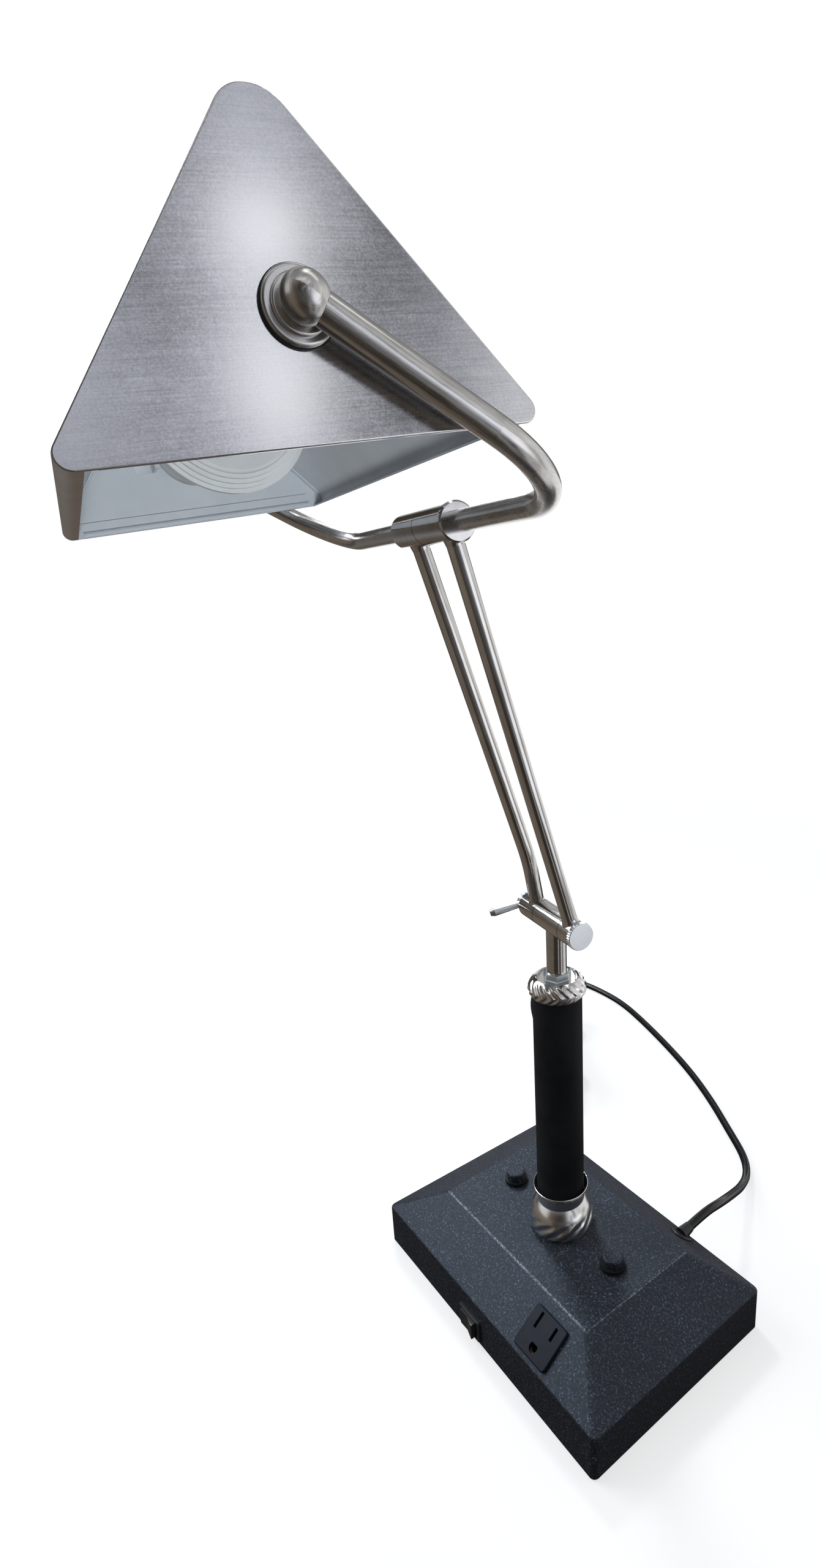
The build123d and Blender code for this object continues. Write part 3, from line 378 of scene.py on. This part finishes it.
def fade(tree, source, span):
    """Rise from nought to one over a span."""
    return spread(tree, source, (0.0, 1.0), span)


def blend_colour(tree, factor, first, second, way="MIX"):
    """Mix two colours, each a socket or a plain colour."""
    node = add(tree, "ShaderNodeMix", data_type="RGBA", blend_type=way)
    sockets = [entry for entry in node.inputs if entry.type == "RGBA"]
    for socket, value in zip(sockets, (first, second)):
        if isinstance(value, tuple):
            socket.default_value = solid(value)
        else:
            join(tree, value, socket)
    if isinstance(factor, float):
        node.inputs["Factor"].default_value = factor
    else:
        join(tree, factor, node.inputs["Factor"])
    return next(output for output in node.outputs if output.type == "RGBA")


def blend_shader(tree, factor, first, second):
    """Mix two shaders by a socket."""
    node = add(tree, "ShaderNodeMixShader")
    join(tree, factor, node.inputs["Fac"])
    join(tree, first, node.inputs[1])
    join(tree, second, node.inputs[2])
    return node.outputs["Shader"]


def local(tree, joint, size):
    """Object coordinates in a moving part's own frame, in units of one or three sizes in millimetres."""
    origin, lean = joint
    turn = 0.0 if joint is upright else barrel_turn
    sizes = size if isinstance(size, tuple) else (size, size, size)
    place = add(tree, "ShaderNodeTexCoord")
    mapping = add(tree, "ShaderNodeMapping", vector_type="TEXTURE")
    mapping.inputs["Location"].default_value = Vector(origin) * MM
    mapping.inputs["Rotation"].default_value = (radians(lean), 0.0, radians(turn))
    mapping.inputs["Scale"].default_value = Vector(sizes) * MM
    join(tree, place.outputs["Object"], mapping.inputs["Vector"])
    return mapping.outputs["Vector"]


def noise(tree, vector, detail=3.0, roughness=0.55):
    node = add(tree, "ShaderNodeTexNoise", {"Scale": 1.0, "Detail": detail, "Roughness": roughness})
    join(tree, vector, node.inputs["Vector"])
    return node.outputs["Fac"]


def clouded(tree, cloud, dark, light):
    """Colour that drifts between two tones with a noise."""
    return ramp(tree, cloud, list(zip(noise_span, (dark, light))))


def dent(tree, shader, height, strength, depth):
    """Bump of a depth in millimetres on a shader."""
    node = add(tree, "ShaderNodeBump", {"Strength": strength, "Distance": depth * MM})
    join(tree, height, node.inputs["Height"])
    join(tree, node.outputs["Normal"], shader.inputs["Normal"])


def start_finish(name, **values):
    """A material with its main shader, whose plain sockets are set by name."""
    material = bpy.data.materials.new(name)
    material.use_nodes = True
    tree = material.node_tree
    shader = tree.nodes["Principled BSDF"]
    for socket, value in values.items():
        label = socket.replace("_", " ")
        target = next(entry for entry in shader.inputs if entry.name.lower() == label)
        target.default_value = solid(value) if isinstance(value, tuple) else value
    return material, tree, shader


# Studio

def bearing(tree, vector):
    """Share of a turn about the lamp, where a half points to the camera, and the height."""
    parts = add(tree, "ShaderNodeSeparateXYZ")
    join(tree, vector, parts.inputs["Vector"])
    angle = calc(tree, "ARCTAN2", parts.outputs["Y"], parts.outputs["X"])
    turns = calc(tree, "DIVIDE", angle, 2 * pi)
    camera_share = 1.5 + (90 - camera_azimuth) / 360
    return calc(tree, "FRACT", calc(tree, "ADD", turns, camera_share)), parts.outputs["Z"]


def room_stops(tones):
    """Ramp stops for the room's tones."""
    stops = []
    for place, brightness, tint in tones:
        stops.append((place, tuple(brightness * part / room_strength for part in tint)))
    return stops


def by_ray(tree, plain_shader, mirrored, eye_shader):
    """One shader for soft light, one for mirrors and one for the eye, straight or through glass."""
    seen = add(tree, "ShaderNodeLightPath")
    shiny = blend_shader(tree, seen.outputs["Is Glossy Ray"], plain_shader, mirrored)
    eye = calc(tree, "MAXIMUM", seen.outputs["Is Camera Ray"], seen.outputs["Is Transmission Ray"])
    return blend_shader(tree, eye, shiny, eye_shader)


def set_world():
    """White to the eye, the room's tones in the metal, and soft light from above on the rest."""
    world = bpy.data.worlds.new("studio")
    bpy.context.scene.world = world
    world.use_nodes = True
    tree = world.node_tree
    tree.nodes.clear()
    place = add(tree, "ShaderNodeTexCoord")
    around, height = bearing(tree, place.outputs["Generated"])
    walls = ramp(tree, around, room_stops(walls_tones))
    horizon = ramp(tree, around, room_stops(horizon_tones))
    room = blend_colour(tree, fade(tree, height, walls_rise), horizon, walls)
    room = blend_colour(tree, fade(tree, height, ceiling_rise), room, ceiling_tone)
    soft = add(tree, "ShaderNodeBackground", {"Color": solid(soft_colour)})
    join(tree, spread(tree, height, soft_strength), soft.inputs["Strength"])
    mirrored = add(tree, "ShaderNodeBackground", {"Strength": room_strength})
    join(tree, room, mirrored.inputs["Color"])
    backdrop = add(tree, "ShaderNodeBackground", {"Color": solid(white), "Strength": 1.0})
    surface = by_ray(tree, soft.outputs["Background"], mirrored.outputs["Background"],
                     backdrop.outputs["Background"])
    output = add(tree, "ShaderNodeOutputWorld")
    join(tree, surface, output.inputs["Surface"])


def floor_finish():
    """White to the eye with a soft shadow, the room's tones in the metal, and a dim grey on the rest."""
    material = bpy.data.materials.new("studio_floor_white")
    material.use_nodes = True
    tree = material.node_tree
    tree.nodes.clear()
    place = add(tree, "ShaderNodeTexCoord")
    length = add(tree, "ShaderNodeVectorMath", operation="LENGTH")
    join(tree, place.outputs["Object"], length.inputs[0])
    reach = length.outputs["Value"]
    around, _ = bearing(tree, place.outputs["Object"])
    tones = ramp(tree, around, room_stops(floor_tones))
    tones = blend_colour(tree, fade(tree, reach, near_floor_reach), near_floor_tone, tones)
    horizon = ramp(tree, around, room_stops(horizon_tones))
    tones = blend_colour(tree, fade(tree, reach, horizon_reach), tones, horizon)
    mirrored = add(tree, "ShaderNodeEmission", {"Strength": room_strength})
    join(tree, tones, mirrored.inputs["Color"])
    bounce = add(tree, "ShaderNodeBsdfDiffuse", {"Color": solid(floor_bounce)})
    grey = add(tree, "ShaderNodeBsdfDiffuse", {"Color": solid(floor_grey)})
    glow = add(tree, "ShaderNodeEmission", {"Color": solid(white), "Strength": floor_glow})
    lit = add(tree, "ShaderNodeAddShader")
    join(tree, grey.outputs["BSDF"], lit.inputs[0])
    join(tree, glow.outputs["Emission"], lit.inputs[1])
    backdrop = add(tree, "ShaderNodeEmission", {"Color": solid(white), "Strength": 1.0})
    sweep = blend_shader(tree, fade(tree, reach, backdrop_reach), lit.outputs["Shader"],
                         backdrop.outputs["Emission"])
    surface = by_ray(tree, bounce.outputs["BSDF"], mirrored.outputs["Emission"], sweep)
    output = add(tree, "ShaderNodeOutputMaterial")
    join(tree, surface, output.inputs["Surface"])
    return material


def set_floor():
    form = bmesh.new()
    bmesh.ops.create_circle(form, cap_ends=True, segments=floor_sides, radius=floor_radius)
    mesh = bpy.data.meshes.new("studio_floor")
    form.to_mesh(mesh)
    form.free()
    floor = bpy.data.objects.new("studio_floor", mesh)
    floor.location.z = -floor_drop
    bpy.context.scene.collection.objects.link(floor)
    mesh.materials.append(floor_finish())


def light_studio():
    bpy.context.scene.view_settings.view_transform = "Standard"
    set_world()
    set_floor()
    for name, place in strip_places.items():
        aim = (place[0] * strip_aim_share, place[1] * strip_aim_share - strip_aim_forward, strip_aim_height)
        add_softbox(name, place, aim, strip_size, strip_power)
    for name, settings in softboxes.items():
        add_softbox(name, **settings)


# Finishes

def coat_finish():
    """Charcoal powder coat with a sandy grain, paler specks, and creases paler with wear and a painted
    highlight.
    """
    material, tree, shader = start_finish("charcoal_sand_coat", specular_ior_level=0.5,
                                          specular_tint=coat_tint)
    grain = noise(tree, local(tree, upright, coat_grain_size), detail=2.0, roughness=0.65)
    fine = noise(tree, local(tree, upright, coat_fine_size), detail=1.0)
    cloud = noise(tree, local(tree, upright, coat_cloud_size), detail=2.0)
    height = weigh(tree, coat_grain_share, grain, fine)
    shade = spread(tree, cloud, coat_clouds, noise_span)
    toned = blend_colour(tree, 1.0, ramp(tree, height, coat_tones), shade, way="MULTIPLY")
    place = add(tree, "ShaderNodeTexCoord")
    parts = add(tree, "ShaderNodeSeparateXYZ")
    join(tree, place.outputs["Object"], parts.inputs["Vector"])
    # Only the front crease and the right-hand one are paled, the side one less: wear plus a painted highlight
    # where the creases catch the light.
    side = calc(tree, "ABSOLUTE", calc(tree, "SUBTRACT", parts.outputs["X"], plateau_half_length * MM))
    front = calc(tree, "ABSOLUTE", calc(tree, "ADD", parts.outputs["Y"], plateau_half_depth * MM))
    level = calc(tree, "ABSOLUTE", calc(tree, "SUBTRACT", parts.outputs["Z"], plateau_top * MM))
    crease = calc(tree, "MINIMUM", calc(tree, "ADD", side, side_wear_and_highlight_loss * MM), front)
    edge = calc(tree, "MAXIMUM", crease, level)
    wear_and_highlight_edge = spread(tree, edge, (1.0, 0.0), tuple(width * MM for width in wear_and_highlight_width))
    worn_and_lit = calc(tree, "MULTIPLY", wear_and_highlight_edge, spread(tree, grain, wear_and_highlight_share, wear_and_highlight_grain))
    join(tree, blend_colour(tree, worn_and_lit, toned, wear_and_highlight_colour), shader.inputs["Base Color"])
    join(tree, spread(tree, fine, coat_roughness, noise_span), shader.inputs["Roughness"])
    dent(tree, shader, height, strength=0.55, depth=0.30)
    return material


def moulded_finish(name, colour, gloss, grain=0.5, depth=0.03, shine=0.3):
    """Moulded plastic, paint or rubber with a fine texture."""
    material, tree, shader = start_finish(name, specular_ior_level=shine)
    fine = noise(tree, local(tree, upright, grain), detail=2.0)
    cloud = noise(tree, local(tree, upright, moulding_cloud_size), detail=2.0)
    darker = tuple(value * moulding_dark for value in colour)
    lighter = tuple(value * moulding_light for value in colour)
    roughness = (gloss - moulding_smoother, gloss + moulding_rougher)
    join(tree, clouded(tree, cloud, darker, lighter), shader.inputs["Base Color"])
    join(tree, spread(tree, fine, roughness, noise_span), shader.inputs["Roughness"])
    dent(tree, shader, fine, strength=0.25, depth=depth)
    return material


def metal_finish(name, joint, stretch, gloss, dark=nickel_dark, light=nickel_light, depth=0.004):
    """Plated metal with fine brush lines that run the way the piece was polished."""
    material, tree, shader = start_finish(name, metallic=1.0)
    lines = noise(tree, local(tree, joint, stretch), detail=3.0, roughness=0.6)
    cloud = noise(tree, local(tree, joint, metal_cloud_size), detail=3.0)
    mixed = weigh(tree, metal_line_share, lines, cloud)
    tones = list(zip(metal_tone_span, (dark, light)))
    roughness = (gloss - metal_streak, gloss + metal_streak)
    join(tree, ramp(tree, mixed, tones), shader.inputs["Base Color"])
    join(tree, spread(tree, mixed, roughness, noise_span), shader.inputs["Roughness"])
    dent(tree, shader, lines, strength=0.3, depth=depth)
    return material


def shade_finish(name, stretch):
    """Brushed nickel outside with cloudy wear, white enamel inside."""
    material, tree, shader = start_finish(name)
    lines = noise(tree, local(tree, shade_joint, stretch), detail=4.0, roughness=0.65)
    grain = noise(tree, local(tree, shade_joint, shade_grain_size), detail=2.0)
    cloud = noise(tree, local(tree, shade_joint, shade_cloud_size), detail=4.0, roughness=0.6)
    brushed = weigh(tree, shade_line_share, lines, grain)
    tone = weigh(tree, shade_brush_share, brushed, cloud)
    nickel = ramp(tree, tone, shade_tones)
    enamel = clouded(tree, cloud, enamel_dark, enamel_light)
    place = add(tree, "ShaderNodeTexCoord")
    reach = add(tree, "ShaderNodeVectorMath", operation="SUBTRACT")
    join(tree, place.outputs["Object"], reach.inputs[0])
    reach.inputs[1].default_value = Vector(shade_joint[0]) * MM
    facing = add(tree, "ShaderNodeVectorMath", operation="DOT_PRODUCT")
    join(tree, reach.outputs["Vector"], facing.inputs[0])
    join(tree, place.outputs["Normal"], facing.inputs[1])
    outside = calc(tree, "GREATER_THAN", facing.outputs["Value"], 0.0)
    join(tree, blend_colour(tree, outside, enamel, nickel), shader.inputs["Base Color"])
    join(tree, outside, shader.inputs["Metallic"])
    satin = spread(tree, tone, satin_roughness, noise_span)
    smoother = calc(tree, "SUBTRACT", satin, enamel_roughness)
    join(tree, calc(tree, "MULTIPLY_ADD", smoother, outside, enamel_roughness), shader.inputs["Roughness"])
    dent(tree, shader, calc(tree, "MULTIPLY", brushed, outside), strength=0.22, depth=0.02)
    return material


def bulb_finish():
    """Opal lamp body with faint clouds."""
    material, tree, shader = start_finish("opal_lamp_body")
    cloud = noise(tree, local(tree, shade_joint, bulb_cloud_size), detail=2.0)
    join(tree, clouded(tree, cloud, bulb_dark, bulb_light), shader.inputs["Base Color"])
    fine = noise(tree, local(tree, shade_joint, bulb_grain_size), detail=2.0)
    join(tree, spread(tree, fine, bulb_roughness, noise_span), shader.inputs["Roughness"])
    return material


def dress(material, *names):
    """Put a finish on pieces of the frame."""
    for name in names:
        piece = nodes[name]
        piece.data.materials.clear()
        piece.data.materials.append(material)


def dress_base():
    dress(coat_finish(), "base_shell", "bolt_caps")
    dress(moulded_finish("black_moulding", colour=(0.022, 0.022, 0.022), gloss=0.30, shine=0.5),
          "switch_housing", "switch_rocker", "strain_relief", "plug_body")
    dress(moulded_finish("outlet_moulding", colour=(0.009, 0.011, 0.019), gloss=0.34, shine=0.12),
          "outlet_body")
    dress(moulded_finish("black_rubber", colour=(0.012, 0.012, 0.012), gloss=0.75, grain=0.9, depth=0.08),
          "rubber_feet")
    dress(metal_finish("dark_cast_iron", upright, stretch=0.8, gloss=0.6,
                       dark=(0.03, 0.03, 0.031), light=(0.07, 0.07, 0.072)),
          "base_bottom", "base_weight")
    dress(metal_finish("contact_brass", upright, stretch=(0.4, 0.4, 3.0), gloss=0.3,
                       dark=(0.50, 0.36, 0.16), light=(0.72, 0.55, 0.28)),
          "outlet_contacts", "switch_terminals", "plug_blades")


def dress_fittings():
    dress(moulded_finish("black_trim", colour=(0.006, 0.006, 0.0065), gloss=0.55),
          "bolt_washers", "pivot_washers", "cord_tie")
    dress(metal_finish("bright_zinc", lower_joint, stretch=(2.5, 2.5, 0.25), gloss=0.34,
                       dark=(0.42, 0.44, 0.46), light=(0.70, 0.72, 0.74)),
          "bottom_screws", "base_studs", "lamp_pipe", "pipe_washer", "pipe_nut", "friction_washers",
          "seam_washer", "pivot_nuts", "inner_washers")


def dress_column():
    dress(moulded_finish("satin_black_paint", colour=(0.018, 0.018, 0.020), gloss=0.55, grain=0.8,
                         depth=0.015, shine=0.06),
          "column_tube")
    dress(metal_finish("ring_nickel", upright, stretch=0.7, gloss=0.12, dark=nickel_light, depth=0.001),
          "column_ring")
    dress(metal_finish("foot_nickel", upright, stretch=0.7, gloss=0.22, dark=nickel_light, depth=0.001),
          "column_foot")
    # Lighter copy of the zinc for the nuts in the ring's cup: painted light that makes up for the shade in
    # the cup.
    dress(metal_finish("zinc_lightened_for_shade", upright, stretch=(2.5, 2.5, 0.25), gloss=0.45,
                       dark=(0.66, 0.71, 0.73), light=(0.84, 0.88, 0.90)),
          "clamp_nut", "swivel_nut")
    dress(metal_finish("turned_nickel", upright, stretch=(9.0, 9.0, 0.22), gloss=0.13), "swivel_stem")


def dress_arm():
    dress(metal_finish("barrel_nickel", arm_joint, stretch=(0.22, 9.0, 9.0), gloss=0.12),
          "lower_knuckle_left", "lower_knuckle_right", "upper_knuckle_left", "upper_knuckle_right")
    dress(metal_finish("bolt_nickel", arm_joint, stretch=(9.0, 0.3, 2.0), gloss=0.30,
                       dark=(0.72, 0.75, 0.80), light=(0.90, 0.92, 0.95)),
          "pivot_bolt", "locking_lever")
    dress(metal_finish("rod_nickel", arm_joint, stretch=(0.6, 0.6, 40.0), gloss=0.13, depth=0.001),
          "arm_rod_left", "arm_rod_right")
    dress(metal_finish("collar_nickel", yoke_joint, stretch=(0.22, 9.0, 9.0), gloss=0.12), "yoke_collar")
    dress(metal_finish("yoke_nickel", yoke_joint, stretch=(1.2, 0.4, 6.0), gloss=0.24), "yoke_tube")


def dress_shade():
    dress(metal_finish("pivot_nickel", shade_joint, stretch=(0.22, 9.0, 9.0), gloss=0.27),
          "pivot_balls", "pivot_flanges", "pivot_nipples")
    dress(shade_finish("gable_nickel", stretch=(0.4, 16.0, 0.4)), "shade_gable_near", "shade_gable_far")
    dress(shade_finish("roof_nickel", stretch=(16.0, 0.4, 0.4)), "shade_roof")
    dress(moulded_finish("white_lampholder", colour=(0.62, 0.61, 0.58), gloss=0.45), "lamp_socket")
    dress(moulded_finish("white_enamel", colour=(0.68, 0.69, 0.71), gloss=0.40),
          "socket_bracket", "bracket_rivets")
    dress(bulb_finish(), "bulb_body", "bulb_lens")


# Fluted ring and foot

def arc_points(steps, start, through, end):
    """Points on the circular arc from a start through a middle to an end, without the end."""
    start = Vector(start)
    ab = Vector(through) - start
    ac = Vector(end) - start
    cross = ab.x * ac.y - ab.y * ac.x
    out = Vector((ac.y * ab.length_squared - ab.y * ac.length_squared,
                  ab.x * ac.length_squared - ac.x * ab.length_squared)) / (2 * cross)
    first = atan2(-out.y, -out.x)
    last = atan2(ac.y - out.y, ac.x - out.x)
    sweep = (last - first) % (2 * pi)
    if cross < 0:
        sweep -= 2 * pi
    points = []
    for index in range(steps):
        angle = first + sweep * index / steps
        points.append(start + out + out.length * Vector((cos(angle), sin(angle))))
    return points


def ease(value, low, high):
    """Smooth rise from nought at one value to one at another."""
    share = min(max((value - low) / (high - low), 0.0), 1.0)
    return share * share * (3 - 2 * share)


def ring_profile():
    """Outside and inside of the ring's half section."""
    outside = arc_points(ring_low_steps, ring_bottom, ring_low_side, ring_belly)
    outside += arc_points(ring_high_steps, ring_belly, ring_high_side, ring_top)
    inside = [ring_top, (recess_radius, recess_top), (recess_radius, recess_floor),
              (bore_radius, recess_floor), (bore_radius, tube_top), (socket_radius, tube_top),
              (socket_radius, ring_bottom[1])]
    return outside, [Vector(point) for point in inside]


def foot_profile():
    """Outside and inside of the foot's half section."""
    outside = arc_points(foot_ball_steps, foot_bottom, foot_belly, foot_neck)
    outside += arc_points(foot_flare_steps, foot_neck, foot_flare, foot_rim)
    outside += arc_points(foot_lip_steps, foot_rim, foot_lip, foot_lip_inside)
    inside = [foot_lip_inside, (socket_radius, cup_bottom), (socket_radius, tube_bottom),
              (bore_radius, tube_bottom), (bore_radius, plateau_top)]
    return outside, [Vector(point) for point in inside]


def make_fluted(name, node, profile, count, lean, middle, heights, depth):
    """A turned piece with slanting flutes pressed into its belly, in place of the plain turned solid."""
    outside, inside = profile
    low_start, low_full, high_full, high_end = heights
    form = bmesh.new()
    turns = []
    steps = count * flute_steps
    for step in range(steps):
        angle = 2 * pi * step / steps
        row = []
        for index, (radius, height) in enumerate(outside + inside):
            if index < len(outside):
                share = ease(height, low_start, low_full) * ease(-height, -high_end, -high_full)
                radius += depth * share * sin(count * angle + lean * abs(height - middle))
            row.append(form.verts.new(Vector((radius * cos(angle), radius * sin(angle), height)) * MM))
        turns.append(row)
    for index, row in enumerate(turns):
        beside = turns[(index + 1) % steps]
        for low in range(len(row)):
            high = (low + 1) % len(row)
            face = form.faces.new((row[low], beside[low], beside[high], row[high]))
            face.smooth = True
    mesh = bpy.data.meshes.new(name)
    form.to_mesh(mesh)
    form.free()
    mesh.set_sharp_from_angle(angle=radians(flute_sharp_angle))
    mesh.materials.append(nodes[node].data.materials[0])
    piece = bpy.data.objects.new(name, mesh)
    bpy.context.scene.collection.objects.link(piece)
    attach(piece, "base")
    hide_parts(node)


# Power cord

def hank_point(along, across, height):
    """A point of the hank's own frame in the lamp's frame."""
    turn = radians(hank_turn)
    return (hank_place[0] + along * cos(turn) - across * sin(turn),
            hank_place[1] + along * sin(turn) + across * cos(turn), height)


def hank_half(side):
    """Route of half a turn: along the waist, then out and round one end loop."""
    waist_end = Vector((side * hank_waist_length / 2, -side * hank_waist))
    centre = Vector((side * hank_reach, 0))
    reach = (centre - waist_end).length
    lean = asin(hank_loop_radius / reach) - atan2(hank_waist, hank_reach - hank_waist_length / 2)
    sweep = pi + 2 * lean
    step = sweep / hank_loop_points
    corner = hank_loop_radius / cos(step / 2)
    arc = []
    for index in range(hank_loop_points):
        angle = -sweep / 2 + (index + 0.5) * step
        arc.append(centre + corner * side * Vector((cos(angle), sin(angle))))
    leave = Vector((waist_end.x, -waist_end.y))
    entry = [Vector((-waist_end.x, waist_end.y)), waist_end, (waist_end + arc[0]) / 2]
    return entry + arc + [(arc[-1] + leave) / 2]


def hank_route():
    """Turns that lie on each other, then the tail to the plug."""
    route = [hank_point(*hank_entry, cord_radius)]
    for turn in range(hank_turns):
        layer = cord_radius + turn * hank_pitch
        waist_layer = cord_radius + tie_lift + turn * (hank_pitch - tie_lift / hank_turns)
        for index, point in enumerate(hank_half(1)):
            height = waist_layer if index < hank_waist_points else layer
            route.append(hank_point(point.x, point.y, height))
        for index, point in enumerate(hank_half(-1)):
            height = waist_layer if index < hank_waist_points else layer + hank_climb[index] * hank_pitch
            route.append(hank_point(point.x, point.y, height))
    route.pop()
    return route + [hank_point(*point) for point in cord_tail]


def make_power_cord():
    points = cord_route + hank_route()
    curve = bpy.data.curves.new("power_cord_line", "CURVE")
    curve.dimensions = "3D"
    curve.resolution_u = cord_curve_steps
    curve.bevel_depth = cord_radius * MM
    curve.bevel_resolution = cord_round_steps
    curve.use_fill_caps = True
    spline = curve.splines.new("NURBS")
    spline.points.add(len(points) - 1)
    for control, point in zip(spline.points, points):
        control.co = (*(Vector(point) * MM), 1.0)
    spline.order_u = cord_order
    spline.use_endpoint_u = True
    cord = bpy.data.objects.new("power_cord_run", curve)
    bpy.context.scene.collection.objects.link(cord)
    curve.materials.append(moulded_finish("black_cord_jacket", colour=(0.007, 0.007, 0.0075), gloss=0.22,
                                          grain=1.4, depth=0.02, shine=0.45))
    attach(cord, "base")
    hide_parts("power_cord", "cord_hank")


set_camera()
light_studio()
dress_base()
dress_fittings()
dress_column()
dress_arm()
dress_shade()
make_fluted("fluted_ring", "column_ring", ring_profile(), **ring_flutes)
make_fluted("fluted_foot", "column_foot", foot_profile(), **foot_flutes)
make_power_cord()
